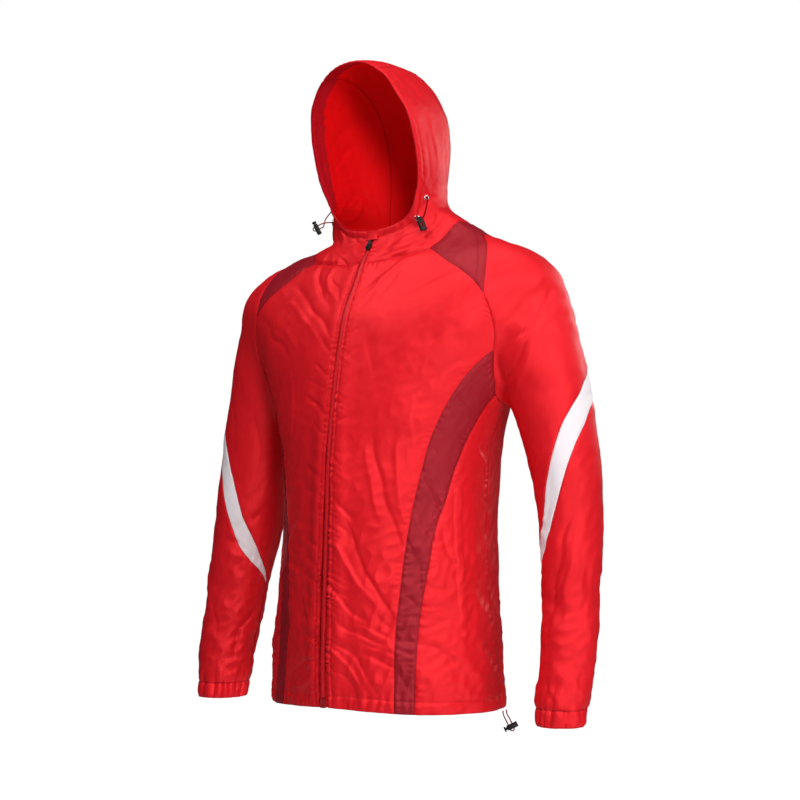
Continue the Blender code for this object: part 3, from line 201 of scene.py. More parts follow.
INSET_FRONT = [(0.208, -0.048, -0.204), (0.183, -0.066, -0.231), (0.165, -0.077, -0.258),
               (0.149, -0.086, -0.289), (0.136, -0.093, -0.321), (0.123, -0.100, -0.371),
               (0.115, -0.108, -0.416), (0.106, -0.118, -0.487), (0.102, -0.125, -0.546),
               (0.100, -0.131, -0.589), (0.098, -0.132, -0.701)]
INSET_BACK = [(0.194, -0.020, -0.265), (0.1835, -0.0305, -0.281), (0.1695, -0.045, -0.315),
              (0.154, -0.061, -0.363), (0.1455, -0.073, -0.408), (0.136, -0.0875, -0.4555),
              (0.1315, -0.0975, -0.5075), (0.127, -0.108, -0.559), (0.125, -0.118, -0.628),
              (0.121, -0.118, -0.702)]
SIDE_SEAM = [(0.190, 0.022, -0.272), (0.176, 0.012, -0.320), (0.168, 0.008, -0.380), (0.166, 0.006, -0.450),
             (0.172, 0.006, -0.540), (0.182, 0.008, -0.640), (0.185, 0.010, -0.703)]
ZIP_LINE = [(0.0, -0.160, -0.696), (0.0, -0.163, -0.640), (0.0, -0.160, -0.540), (0.0, -0.156, -0.440),
            (0.0, -0.152, -0.350), (0.0, -0.142, -0.270), (0.0, -0.129, -0.200), (0.0, -0.113, -0.140),
            (0.0, -0.090, -0.095), (0.0, -0.074, -0.0615)]
COLLAR_LINE = [(0.0, -0.074, -0.0615), (0.0, -0.058, -0.040), (0.0, -0.044, -0.022), (0.0, -0.035, -0.0065)]
HOOD_RIM = [(0.0, -0.035, -0.0065), (0.030, -0.037, -0.002), (0.058, -0.041, 0.010), (0.076, -0.048, 0.027),
            (0.0845, -0.0525, 0.046), (0.091, -0.062, 0.073), (0.093, -0.070, 0.100),
            (0.0925, -0.080, 0.1275), (0.087, -0.090, 0.1555), (0.078, -0.100, 0.176),
            (0.062, -0.1035, 0.200), (0.048, -0.105, 0.211), (0.030, -0.1055, 0.218), (0.0, -0.106, 0.2215)]
HOOD_SEAM = [(0.048, -0.105, 0.211), (0.054, -0.060, 0.234), (0.056, -0.010, 0.232), (0.056, 0.040, 0.205),
             (0.055, 0.068, 0.160), (0.053, 0.077, 0.110), (0.051, 0.076, 0.060), (0.050, 0.075, 0.001)]
# The right inset sits nearer the zip: z, and the share of the left one's distance from the middle.
RIGHT_INSET_SHIFT = [(-0.702, 1.00), (-0.655, 0.90), (-0.580, 0.82), (-0.500, 0.85), (-0.410, 0.92),
                     (-0.300, 1.00)]

# Sleeve stripe: its two edges' heights round the arm; 0 degrees points outward and 90 forward.
# columns: degrees, top_z, bottom_z
STRIPE = np.array([
    (-160, -0.300, -0.338), (-130, -0.272, -0.310), (-95, -0.240, -0.278), (-50, -0.226, -0.264),
    (-3, -0.245, -0.283), (20, -0.266, -0.310), (40, -0.287, -0.334), (60, -0.315, -0.368),
    (80, -0.352, -0.408), (100, -0.392, -0.445), (120, -0.436, -0.478), (145, -0.470, -0.501),
    (170, -0.502, -0.517), (200, -0.532, -0.537),
])
CUFF_TOP, CUFF_BOTTOM = -0.6885, -0.7110
CUFF_WAVES, CUFF_WAVE_HEIGHT, CUFF_BULGE = 15, 0.0018, 0.0008
SLEEVE_BLOUSE, GATHER_FADE = 0.0035, 0.016
SLEEVE_HEAD_END, SHOULDER_ROUND, ARMHOLE_BOW = -0.300, 0.050, 0.022
ARMHOLE = ("armhole_under", "armhole_inset", "armhole_front", "armhole_over", "armhole_back")
ARMHOLE_DEGREES = (200, 170, 138, 98, -98, -160)
CELLS = dict(neck_front=5, neck_side=10, neck_back_side=2, neck_back_middle=4, yoke_edge=4,
             armhole_under=3, armhole_inset=3, armhole_front=4, armhole_back=7,
             body_height=20, hood_height=12, sleeve_head=8, stripe=2, lower_sleeve=9, cuff=1)
CELLS["armhole_over"] = CELLS["neck_side"]      # the two long edges of a yoke
SEAM_SAMPLES, EVEN_ROUNDS = 160, 8
LONGEST_STEP, SETTLED = 0.02, 1e-6
FINEST = 12                         # every seam is kept this many times finer than CELLS

# ---- cloth ------------------------------------------------------------------------------------------
WALL, LAID_GAP, STRAP_WALL = 0.0015, 0.0003, 0.0010
ZIP_OPEN, ZIP_CALM = 0.0072, 0.009
EDGE_SINK, EDGE_WIDE = 0.0010, 0.0026     # cloth turns in beside a seam
PUCKER_AT, PUCKER_WIDE, PUCKER_CLEAR = 0.004, 0.006, 0.0022
UNSEWN = 0.01                       # a laid piece's edges count as this far from any seam
LEAST_SHEET, LEAST_FILLED = 0.0101, 0.31      # the least side of a sheet, and share of its rectangle
HEM_STITCH, HEM_PROUD, STITCH_SINK = 0.0175, 0.0005, 0.0009

# Folds, in mm: a soft ridge (height above 0) or trough between two points, bent sideways by its bow.
# columns: x0, y0, z0, x1, y1, z1, bow, half_width, height
FOLDS = np.array([
    # left front
    (207, -67, -141, 105, -118, -224, -3, 6.8, -1.6),
    (198, -73, -131, 98, -117, -198, -2, 6.8, 0.8),
    (170, -70, -91, 66, -111, -142, -3, 6, -1.4),
    (73, -71, -63, 10, -97, -109, 2, 5.2, -1.2),
    (105, -57, -48, 19, -110, -133, -8, 6.8, 1.4),
    (75, -79, -79, 56, -108, -132, -7, 4.5, -1),
    (204, -52, -204, 125, -108, -260, -7, 7.5, -1),
    (199, -49, -220, 145, -88, -296, -5, 6.8, 1),
    (64, -137, -329, 102, -121, -475, -2, 8.2, -2.3),
    (54, -141, -340, 76, -134, -439, -3, 6, 1.3),
    (100, -120, -315, 104, -117, -439, -9, 7.5, 1.7),
    (28, -152, -442, 97, -130, -571, -4, 6, -3.1),
    (15, -156, -461, 72, -142, -556, -7, 6.8, 2.6),
    (9, -159, -527, 65, -147, -578, -5, 4.5, -2),
    (20, -160, -579, 86, -139, -611, -3, 4.5, -2.1),
    (11, -162, -604, 74, -145, -671, 11, 5.2, -2.1),
    (16, -161, -614, 56, -152, -672, 4, 4.5, 2.1),
    (9, -163, -636, 46, -155, -678, 8, 5, -2.4),
    (56, -152, -624, 98, -134, -643, 3, 5, -2.3),
    (75, -142, -567, 95, -132, -582, -1, 4, -1.6),
    (73, -144, -588, 97, -132, -600, 1, 4, -1.6),
    (55, -152, -610, 97, -133, -622, 1, 4, -1.5),
    (8, -155, -411, 35, -151, -442, 3, 4, -2),
    (7, -156, -439, 33, -152, -461, 3, 4, -1.6),
    (7, -159, -514, 22, -158, -535, 2, 3, -1.4),
    (4, -154, -381, 21, -153, -400, -1, 3, -1.2),
    (8, -160, -549, 20, -159, -571, 1, 3, -1.4),
    (8, -125, -183, 31, -121, -167, 2, 4, -0.8),
    (42, -121, -171, 66, -131, -250, -2, 6, -0.6),
    (115, -113, -274, 113, -110, -371, -3, 6.8, 1),
    (55, -147, -501, 84, -136, -548, 3, 4.5, 1.3),
    (43, -154, -582, 81, -141, -596, 1, 4, 1.6),
    (64, -149, -650, 94, -136, -650, -11, 4.5, 1.3),
    # puckers beside the zip
    (-8, -104, -121, 6, -96, -107, -1, 3, -1.4),
    (-2, -122, -168, 14, -117, -151, -2, 3, -1.3),
    (1, -132, -215, 18, -129, -202, -1, 3, -1.3),
    (3, -140, -259, 23, -138, -248, -3, 3, -1.1),
    (5, -147, -305, 24, -144, -297, 2, 3, -1.1),
    (7, -151, -344, 25, -149, -342, -1, 3, -1.1),
    (7, -157, -483, 20, -156, -497, 1, 3, -1.3),
    (8, -161, -583, 24, -160, -595, 0, 3, -1.3),
    # right front
    (-133, -73, -80, -19, -123, -175, 3, 5.2, -2.9),
    (-151, -75, -91, -43, -123, -179, 3, 5.2, 1.5),
    (-188, -77, -125, -103, -116, -196, -2, 4.5, -2.3),
    (-160, -87, -126, -83, -120, -190, 0, 5.2, 1.2),
    (-80, -54, -40, -37, -105, -124, -16, 5, -3.4),
    (-58, -66, -53, -26, -103, -119, -12, 4, 2.2),
    (-58, -56, -40, -15, -80, -75, -1, 4, -2),
    (-51, -80, -78, -11, -108, -129, 1, 3, -1.8),
    (-36, -123, -177, -5, -132, -213, 2, 3, -1.6),
    (-41, -130, -215, -12, -136, -236, 1, 3, -1.6),
    (-58, -131, -237, -15, -139, -256, 2, 3, -1.7),
    (-51, -135, -257, -7, -145, -293, -2, 4, -2.2),
    (-37, -143, -302, -6, -149, -318, -1, 4, -1.3),
    (-102, -118, -221, -90, -125, -317, 8, 6, 1.7),
    (-134, -106, -221, -214, -5, -305, 34, 4.5, -1.2),
    (-46, -148, -467, -10, -157, -481, 2, 4, -1.7),
    (-40, -151, -489, -9, -158, -508, 2, 4, -1.7),
    (-43, -152, -518, -9, -159, -528, 0, 4, -1.6),
    (-45, -154, -600, -4, -162, -611, 4, 5, -3.5),
    (-71, -147, -658, -11, -162, -633, 6, 5, -3.8),
    (-66, -148, -672, -9, -162, -659, 4, 4, 2.8),
    (-54, -142, -362, -14, -153, -380, 3, 5, -1.7),
    (-60, -141, -396, -14, -154, -403, 0, 5, -1.3),
    (-46, -152, -546, -30, -158, -589, -2, 4.5, -1.5),
    # left inset
    (125, -99, -371, 143, -79, -434, 2, 4.5, -2.5),
    (115, -108, -428, 137, -89, -475, 3, 4.5, -1.6),
    (108, -115, -467, 125, -107, -540, 8, 4.5, -1.6),
    (103, -124, -540, 126, -108, -563, 2, 4, -1.6),
    (103, -127, -573, 126, -109, -570, 1, 3.5, -1.3),
    (102, -128, -588, 126, -111, -584, 2, 3.5, -1.2),
    (102, -129, -603, 126, -113, -604, 2, 3.5, -1.2),
    (103, -130, -615, 121, -118, -628, 3, 3.5, -1.3),
    (102, -131, -647, 122, -119, -679, 0, 4.5, -1.6),
    (106, -129, -634, 125, -116, -639, 2, 3.5, -1.1),
    (162, -79, -261, 172, -60, -280, 0, 3.5, -1.5),
    (154, -82, -279, 160, -70, -301, 0, 3.5, -1.1),
    (132, -95, -335, 141, -83, -356, -1, 3.5, -0.8),
    (121, -103, -406, 131, -93, -417, -1, 3, -0.8),
    (103, -121, -497, 106, -122, -537, 1, 3, -1.4),
    (130, -96, -453, 141, -82, -428, 1, 3, 1.1),
    # left side
    (143, -81, -450, 158, -63, -500, -5, 4, -2.7),
    (132, -99, -524, 153, -76, -536, -3, 4, -2),
    (127, -112, -607, 164, -79, -669, 18, 5, -2.7),
    (128, -109, -588, 156, -77, -570, -2, 4, -2),
    (129, -105, -559, 150, -82, -554, -2, 4, -1.4),
    (173, -58, -614, 169, -72, -675, -4, 5.2, -1.7),
    (179, -41, -607, 183, 1, -651, -3, 4.5, 2.3),
    (160, 31, -410, 156, 53, -539, -2, 4.5, -2.3),
    (171, -30, -335, 166, -1, -374, 1, 4.5, 2.7),
    (164, -47, -489, 164, -53, -516, 9, 4, -2),
    (132, -110, -644, 147, -98, -668, 0, 4, -1.8),
    (171, -43, -549, 170, -58, -590, 2, 4, -2),
    # left sleeve
    (215, -45, -204, 277, -4, -118, -16, 6, -3.7),
    (257, -41, -200, 216, -28, -252, 1, 6, -6),
    (212, -45, -207, 214, -28, -250, -2, 6, -5.1),
    (224, -42, -199, 261, -35, -179, -4, 5, 2.8),
    (267, -39, -205, 241, -39, -253, 0, 8, 3.2),
    (212, -58, -96, 248, -14, -72, 3, 5, -1.6),
    (205, -68, -124, 255, -16, -80, 1, 5, -1.8),
    (210, -66, -141, 260, -20, -90, 5, 5, -2.1),
    (221, -52, -164, 269, -13, -101, 0, 7, 2.1),
    (281, 11, -116, 264, -39, -199, 4, 7, 1.6),
    (270, -27, -165, 293, -14, -187, -5, 8, -1.3),
    (261, -40, -260, 290, -32, -263, -4, 8, -1.5),
    (316, -25, -429, 285, -46, -599, -6, 7, -3.9),
    (326, -18, -440, 309, -46, -585, -3, 8, 2.4),
    (334, -12, -493, 329, -40, -623, 1, 7, -1.5),
    (289, -32, -372, 278, -30, -440, -2, 6, -1.8),
    (292, -56, -645, 307, -62, -679, -2, 4, -2.2),
    (317, -53, -649, 314, -59, -679, -1, 4, -1.6),
    (334, -33, -639, 330, -44, -680, -2, 4, -1.5),
    (338, -10, -559, 335, -30, -637, 0, 5, 1.3),
    # right sleeve
    (-299, -43, -473, -255, -27, -483, 7, 6, -3.8),
    (-293, -46, -494, -257, -29, -497, 5, 6, 2.2),
    (-277, -44, -522, -246, -13, -494, 8, 6, -1.9),
    (-292, -37, -369, -264, -35, -381, 3, 5, -2.2),
    (-265, -36, -414, -237, -16, -389, -2, 5, -1.9),
    (-257, -31, -437, -235, -8, -415, -4, 5, -1.6),
    (-267, -48, -649, -251, -1, -568, 7, 6, -3.5),
    (-260, -37, -658, -259, 12, -592, 10, 6, 1.9),
    (-284, -36, -255, -277, -38, -335, 3, 6, -1.7),
    (-235, -18, -359, -234, -36, -265, 2, 7, -1.9),
    (-307, -52, -563, -297, -65, -654, 6, 6, -1.7),
    (-278, -59, -654, -270, -58, -684, 0, 4, -1.9),
    (-260, -37, -661, -261, -41, -688, 2, 4, -1.7),
    # yokes
    (117, -49, -41, 161, -17, -28, 7, 4, -1),
    (118, -56, -50, 175, -26, -40, -21, 4, -1),
    (167, -65, -78, 192, -52, -71, -2, 4, -0.8),
    (183, -70, -98, 198, -61, -90, -2, 4, -0.6),
    (-234, -48, -85, -190, -75, -118, 7, 5, -0.8),
    (-206, -52, -73, -171, -74, -98, 0, 4, -0.6),
    # collar, left
    (36, -62, -45, 54, -44, -16, 5, 4, -2.6),
    (15, -70, -56, 71, -54, -38, 3, 4, -2.4),
    (29, -74, -64, 84, -57, -44, 0, 4, -1.7),
    (45, -62, -47, 72, -45, -23, 6, 4, 2),
    (17, -47, -14, 23, -50, -27, 4, 3, -1.8),
    (96, -32, -6, 91, 13, 27, 1, 5, -2.3),
    (60, -42, -3, 82, -33, 5, 0, 4, -2.4),
    (93, -49, -35, 111, -3, 9, -4, 5, 2),
    (81, -57, -44, 115, -30, -11, -6, 5, -1.8),
    # collar, right
    (-84, -32, 5, -52, -45, -17, 2, 4, -2.6),
    (-84, -37, -12, -47, -56, -38, -1, 4, -2),
    (-44, -45, -12, -11, -53, -32, -2, 4, -1.8),
    (-36, -51, -29, -12, -67, -53, 1, 4, 1.8),
    # the hollow along the neck seam
    (8, -74, -61, 70, -66, -53, 0, 10, -3.0),
    (50, -69, -57, 108, -56, -46, 0, 10, -3.0),
    (95, -60, -50, 127, -25, -17, -3, 10, -3.0),
    (-8, -74, -61, -70, -66, -53, 0, 10, -3.4),
    (-50, -69, -57, -108, -56, -46, 0, 10, -3.4),
    (-95, -60, -50, -127, -25, -17, 3, 10, -3.4),
    # hood, left
    (88, -52, 173, 94, -8, 77, 5, 8, 1.2),
    (95, 2, 140, 90, 15, 73, -1, 5, -1.2),
    (96, -48, 128, 89, -21, 51, -2, 7, -1.1),
    (59, -77, 216, 88, -52, 173, 3, 7, -1),
    (85, -27, 35, 87, 8, 45, 0, 4, -1.4),
    (86, -28, 25, 96, -22, 14, 0, 3, -1.1),
    (89, -53, 60, 85, -31, 37, 3, 5, 1.1),
    # hood, right rim
    (-5, -179, 159, 4, -174, 144, -1, 4, -2.4),
    (-21, -167, 136, 0, -171, 140, -1, 4, -2.4),
    (-30, -147, 113, -7, -157, 124, 0, 4, -2.6),
    (-41, -133, 97, -20, -141, 106, 1, 4, -1.9),
    # hood's right wall
    (-97, -14, 103, -87, 28, 149, -3, 5, 2.4),
    (-94, -15, 155, -85, 14, 176, -3, 5, 2),
    (-88, 24, 76, -66, 58, 32, -13, 6, 4),
    (-79, 44, 89, -69, 51, 60, -4, 5, -2.4),
    (-94, 1, 84, -89, 26, 96, 1, 4, 1.8),
    (-88, 8, 51, -84, 30, 70, -2, 4, 1.8),
    (-80, 35, 65, -89, 21, 28, -4, 6, -2),
    (-73, -63, 202, -81, -17, 194, 2, 5, 2),
    (-43, 58, 193, -29, 78, 82, 2, 6, 2),
    # back and the sleeves' backs
    (205, 88, -150, 70, 128, -260, 6, 13, -3.5),
    (-205, 88, -150, -70, 128, -260, -6, 13, -3.5),
    (200, 60, -240, 90, 138, -330, 5, 14, -3),
    (-200, 60, -240, -90, 138, -330, -5, 14, -3),
    (120, 105, -330, 95, 130, -560, -8, 15, -3),
    (-110, 110, -340, -90, 132, -580, 8, 15, -3),
    (25, 155, -420, 45, 140, -640, 4, 15, -3),
    (-50, 150, -470, -30, 140, -660, -3, 14, 2.5),
    (90, 90, -70, 40, 104, -150, 3, 13, -2.5),
    (-90, 90, -70, -40, 104, -150, -3, 13, -2.5),
    (262, 60, -330, 292, 50, -440, 6, 12, -3),
    (-262, 70, -330, -292, 60, -440, -6, 12, -3),
    (300, 25, -560, 270, 20, -640, 4, 12, -3),
    (-300, 35, -560, -268, 30, -640, -4, 12, -3),
]) / 1000
FOLD_STEPS = 6                      # straight lengths in a bowed fold
FOLD_REACH, FOLD_FADE = 3.5, 1.2    # a fold ends this many half widths out, and fades before it
FOLD_SHUT = 0.10                    # how far a fold is closed at its ends
GENTLE, STEEPEST = 0.80, 0.62       # a fold's gentle side is wider than its steep one
ROUND_SHARE, SHARP_SHARE = 0.35, 0.65


# ---- the form ---------------------------------------------------------------------------------------
def smooth_rows(keys, rows, x):
    """Values between a table's rows, on a curve without corners."""
    keys, rows = np.asarray(keys, float), np.asarray(rows, float)
    step = np.diff(keys)[:, None]
    slope = np.diff(rows, axis=0) / step
    inner = (slope[:-1] * step[1:] + slope[1:] * step[:-1]) / (step[1:] + step[:-1])
    lean = np.vstack([slope[:1], inner, slope[-1:]])
    x = np.clip(x, keys[0], keys[-1])
    i = np.clip(np.searchsorted(keys, x) - 1, 0, len(keys) - 2)
    h = step[i]
    t = ((x - keys[i]) / h[:, 0])[:, None]
    return ((2 * t ** 3 - 3 * t ** 2 + 1) * rows[i] + (t ** 3 - 2 * t ** 2 + t) * h * lean[i]
            + (3 * t ** 2 - 2 * t ** 3) * rows[i + 1] + (t ** 3 - t ** 2) * h * lean[i + 1])


def body_field(p):
    """Signed distance to the torso and its slope; below 0 inside."""
    step = 0.001
    ratios = []
    for z in (p[:, 2], p[:, 2] + step, p[:, 2] - step):
        half_width, front, back, power, middle = smooth_rows(BODY[:, 0], BODY[:, 1:], z).T
        narrower = smooth_rows(RIGHT_NECK[:, 0], RIGHT_NECK[:, 1:], z)[:, 0]
        half_width = half_width - np.where(p[:, 0] < 0, narrower, 0)
        y = p[:, 1] - middle
        depth = np.where(y < 0, front + middle, back - middle)
        power = np.where(y < 0, power, np.maximum(power, BACK_POWER))
        wide, deep = np.abs(p[:, 0] / half_width), np.abs(y / depth)
        total = np.maximum(wide ** power + deep ** power, 1e-9)
        ratios.append(total ** (1 / power))
        if len(ratios) == 1:
            rise = total ** (1 / power - 1)
            slope_x = rise * wide ** (power - 1) * np.sign(p[:, 0]) / half_width
            slope_y = rise * deep ** (power - 1) * np.sign(y) / depth
    slope = np.stack([slope_x, slope_y, (ratios[1] - ratios[2]) / (2 * step)], 1)
    value, slope = to_distance(ratios[0], slope)
    above = p[:, 2] - BODY_TOP > value
    return np.where(above, p[:, 2] - BODY_TOP, value), np.where(above[:, None], (0, 0, 1), slope)


def to_distance(ratio, slope):
    steep = np.maximum(np.linalg.norm(slope, axis=1), 2.0)
    return (ratio - 1) / steep, slope / steep[:, None]


def fine_arm(table):
    at = np.linspace(0, len(table) - 1, ARM_STEPS * (len(table) - 1) + 1)
    return smooth_rows(np.arange(len(table)), table, at)


ARMS = {1: fine_arm(LEFT_ARM), -1: fine_arm(RIGHT_ARM)}


def arm_field(p):
    """Signed distance to the nearer arm's chain of rings and its slope."""
    value, slope = np.empty(len(p)), np.empty((len(p), 3))
    for side, arm in ARMS.items():
        mine = p[:, 0] * side >= 0 if side > 0 else p[:, 0] < 0
        q = (p[mine] * (side, 1, 1))[:, None]
        start, run = arm[:-1, :3], np.diff(arm[:, :3], axis=0)
        t = np.clip(((q - start) * run).sum(2) / (run ** 2).sum(1), 0, 1)
        away = q - start - t[..., None] * run
        length = np.linalg.norm(away, axis=2)
        gap = length - (arm[:-1, 3] + t * np.diff(arm[:, 3]))
        pick = gap.argmin(1)
        row = np.arange(len(pick))
        value[mine] = gap[row, pick]
        slope[mine] = away[row, pick] / np.maximum(length[row, pick], 1e-9)[:, None] * (side, 1, 1)
    return value, slope


def hood_field(p):
    """Signed distance to the hood's egg, cut off under the chin, and its slope."""
    radii = np.tile(HOOD_RADII, (len(p), 1))
    radii[:, 1] = np.where(p[:, 1] < HOOD_MIDDLE[1], HOOD_FRONT, HOOD_RADII[1])
    q = (p - HOOD_MIDDLE) / radii
    total = np.maximum((np.abs(q) ** HOOD_POWER).sum(1), 1e-9)
    slope = (total ** (1 / HOOD_POWER - 1))[:, None] * np.abs(q) ** (HOOD_POWER - 1) * np.sign(q) / radii
    value, slope = to_distance(total ** (1 / HOOD_POWER), slope)
    steep = (1 + CHIN_SLOPE ** 2) ** 0.5
    chin = (CHIN_Y - (p[:, 2] - CHIN_Z) * CHIN_SLOPE - p[:, 1]) / steep
    chin_slope = np.tile((0, -1 / steep, -CHIN_SLOPE / steep), (len(p), 1))
    value, slope = soft_min((-value, -slope), (-chin, -chin_slope), CHIN_ROUND)
    return -value, -slope


def soft_min(first, second, blend):
    """The smaller of two fields, rounded where they meet."""
    (a, slope_a), (b, slope_b) = first, second
    h = np.clip(0.5 + 0.5 * (b - a) / blend, 0, 1)
    return b + (a - b) * h - blend * h * (1 - h), slope_a * h[:, None] + slope_b * (1 - h)[:, None]


def form(p):
    """Below 0 inside the worn garment, 0 on its outside; with its slope."""
    return soft_min(soft_min(body_field(p), arm_field(p), ARM_BLEND), hood_field(p), HOOD_BLEND)


def settle(points, rounds=14):
    """Points moved onto the form, straight down its slope."""
    p = np.array(points, float).reshape(-1, 3)
    for _ in range(rounds):
        value, slope = form(p)
        move = (value / np.maximum((slope ** 2).sum(1), 0.3))[:, None] * slope
        length = np.linalg.norm(move, axis=1)[:, None]
        p -= move * np.minimum(1, LONGEST_STEP / np.maximum(length, 1e-9))
        if length.max() < SETTLED:
            break
    return p.reshape(np.shape(points))


def normals(p):
    slope = form(p.reshape(-1, 3))[1]
    return (slope / np.linalg.norm(slope, axis=1)[:, None]).reshape(p.shape)


def fold_paths():
    """Each fold as a short chain of points."""
    starts, ends = settle(FOLDS[:, 0:3]), settle(FOLDS[:, 3:6])
    sideways = np.cross(normals(settle((starts + ends) / 2)), ends - starts)
    sideways *= (FOLDS[:, 6] / np.linalg.norm(sideways, axis=1))[:, None]
    t = np.linspace(0, 1, FOLD_STEPS + 1)[:, None, None]
    return settle(starts + (ends - starts) * t + sideways * 4 * t * (1 - t)).transpose(1, 0, 2)


def fold_height(p):
    """How far the folds lift or sink the cloth at each point."""
    place = p.reshape(-1, 3)
    lift = np.zeros(len(place))
    q = place + np.stack([size * waves(place, field) for field, size in STRAY], 1)
    for k, (path, (half_width, height)) in enumerate(zip(FOLD_PATHS, FOLDS[:, 7:9])):
        middle = (path.max(0) + path.min(0)) / 2
        reach = (path.max(0) - path.min(0)) / 2 + FOLD_REACH * half_width
        near = (np.abs(q - middle) < reach).all(1)
        if not near.any():
            continue
        start, run = path[:-1], np.diff(path, axis=0)
        t = np.clip(((q[near, None] - start) * run).sum(2) / (run ** 2).sum(1), 0, 1)
        away = np.linalg.norm(q[near, None] - start - t[..., None] * run, axis=2)
        pick = away.argmin(1)
        row = np.arange(len(pick))
        along = (pick + t[row, pick]) / len(run)
        swell = np.sin(pi * (FOLD_SHUT + 0.80 * along)) ** 0.8
        width = half_width * (0.75 + 0.25 * swell)
        aside = (q[near] - start[pick] - t[row, pick, None] * run[pick]) @ FOLD_SIDES[k]
        lean = 1 / (1 + np.exp(-aside / (0.25 * half_width)))
        u = away[row, pick] / (width * (STEEPEST + GENTLE * lean))
        crest = np.exp(0.25 - np.sqrt((2.1 * u) ** 2 + 0.0625))
        cross_cut = ROUND_SHARE * np.exp(-u ** 2) + SHARP_SHARE * crest
        lift[near] += height * swell * cross_cut * np.clip((FOLD_REACH - u) / FOLD_FADE, 0, 1)
    past_zip = np.clip((np.abs(place[:, 0]) - ZIP_OPEN) / ZIP_CALM, 0, 1)
    lift *= np.where(place[:, 1] < 0, past_zip, 1)
    return lift.reshape(p.shape[:-1])


FOLD_PATHS = fold_paths()


def gentle_sides():
    """The way each fold slopes gently; it is steep on its other side."""
    middle = FOLD_PATHS[:, FOLD_STEPS // 2]
    side = np.cross(normals(middle), FOLD_PATHS[:, -1] - FOLD_PATHS[:, 0])
    side /= np.linalg.norm(side, axis=1)[:, None]
    turn = np.where(np.random.default_rng(5).uniform(size=len(side)) < 0.5, -1, 1)
    return side * turn[:, None]


FOLD_SIDES = gentle_sides()


def wave_field(seed, count, length, spread):
    """Directions and phases of waves whose lengths lie within a share of one length."""
    dice = np.random.default_rng(seed)
    ways = dice.normal(size=(count, 3))
    ways /= np.linalg.norm(ways, axis=1)[:, None]
    lengths = length * (1 + spread * dice.uniform(-1, 1, count))
    return ways * (2 * pi / lengths)[:, None], dice.uniform(0, 2 * pi, count)


def waves(q, field):
    ways, phases = field
    return np.sin(q @ ways.T + phases).sum(1) / len(phases) ** 0.5


STRAY = [(wave_field(11 + k, 6, 0.045, 0.3), 0.0022) for k in range(3)]   # how far folds wander, by axis
BILLOW = [(wave_field(31, 8, 0.095, 0.3), 0.0008), (wave_field(32, 9, 0.040, 0.3), 0.00020)]
CREASES = [(wave_field(41, 7, 0.120, 0.3), 0.0010), (wave_field(42, 8, 0.062, 0.3), 0.0010),
           (wave_field(43, 9, 0.030, 0.3), 0.00090)]
# How creased the cloth is: z, share.
CREASED = [(-0.80, 1.25), (-0.52, 1.25), (-0.40, 0.65), (-0.20, 0.30), (-0.04, 0.35), (0.10, 0.45)]


def billow(p):
    """The cloth's own slow swell, and the flat facets and sharp creases of crumpled nylon."""
    q = p.reshape(-1, 3)
    lift = sum(size * waves(q, field) for field, size in BILLOW)
    levels, share = zip(*CREASED)
    crumpled = np.interp(q[:, 2], levels, share)
    for field, size in CREASES:
        lift = lift - size * crumpled * np.sqrt(waves(q, field) ** 2 + 0.002)
    past_zip = np.clip((np.abs(q[:, 0]) - ZIP_OPEN) / 0.03, 0, 1)
    return (lift * np.where(q[:, 1] < 0, past_zip, 1)).reshape(p.shape[:-1])


# ---- seams and grids --------------------------------------------------------------------------------
def bell(x, middle, width):
    """1 at the middle, fading smoothly to 0 on both sides of it."""
    return np.exp(-((x - middle) / width) ** 2)


def resample(line, cells):
    """A line cut into equal lengths."""
    at = np.concatenate([[0], np.cumsum(np.linalg.norm(np.diff(line, axis=0), axis=1))])
    return np.stack([np.interp(np.linspace(0, at[-1], cells + 1), at, axis) for axis in line.T], 1)


def seam(points, cells, side=1):
    """A seam drawn through its points on one side of the form."""
    points = np.array(points, float)
    chord = np.concatenate([[0], np.cumsum(np.linalg.norm(np.diff(points, axis=0), axis=1))])
    line = smooth_rows(chord, points, np.linspace(0, chord[-1], 2 * SEAM_SAMPLES))
    line = settle(line * (side, 1, 1))
    if abs(points[:, 0]).max() == 0:
        line[:, 0] = 0
    return resample(line, cells * FINEST)


def join(*lines):
    return np.concatenate([lines[0]] + [line[1:] for line in lines[1:]])


def to_round(p, unwrap_from=0.0):
    """x, y, z to angle about the upright axis, radius and height."""
    angle = np.arctan2(p[..., 0], -p[..., 1]) - unwrap_from
    return np.stack([(angle + pi) % (2 * pi) - pi, np.hypot(p[..., 0], p[..., 1]), p[..., 2]], -1)


def from_round(q, unwrap_from=0.0):
    angle = q[..., 0] + unwrap_from
    return np.stack([q[..., 1] * np.sin(angle), -q[..., 1] * np.cos(angle), q[..., 2]], -1)


def fill(low, high, first, last):
    """Points between four edges that share their corners."""
    u = np.linspace(0, 1, len(low))[None, :, None]
    v = np.linspace(0, 1, len(first))[:, None, None]
    return ((1 - v) * low + v * high + (1 - u) * first[:, None] + u * last[:, None]
            - (1 - u) * (1 - v) * low[0] - u * (1 - v) * low[-1] - (1 - u) * v * high[0] - u * v * high[-1])


def span(low, high, first, last, finer, round_from=None):
    """A grid between four seams, row 0 at the bottom, settled on the form.

    It is laid and evened out in wide cells, then cut finer: finer is how often, up and across."""
    edges = [np.asarray(edge) for edge in (low, high, first, last)]
    wide = [edge[::FINEST] for edge in edges]
    if round_from is None:
        grid = fill(*wide)
    else:
        grid = from_round(fill(*[to_round(edge, round_from) for edge in wide]), round_from)
    grid = settle(grid)
    grid[0], grid[-1], grid[:, 0], grid[:, -1] = wide
    grid = even_out(grid, EVEN_ROUNDS)
    up, across = finer
    return cut_finer(grid, edges[0][::FINEST // across], edges[1][::FINEST // across],
                     edges[2][::FINEST // up], edges[3][::FINEST // up])


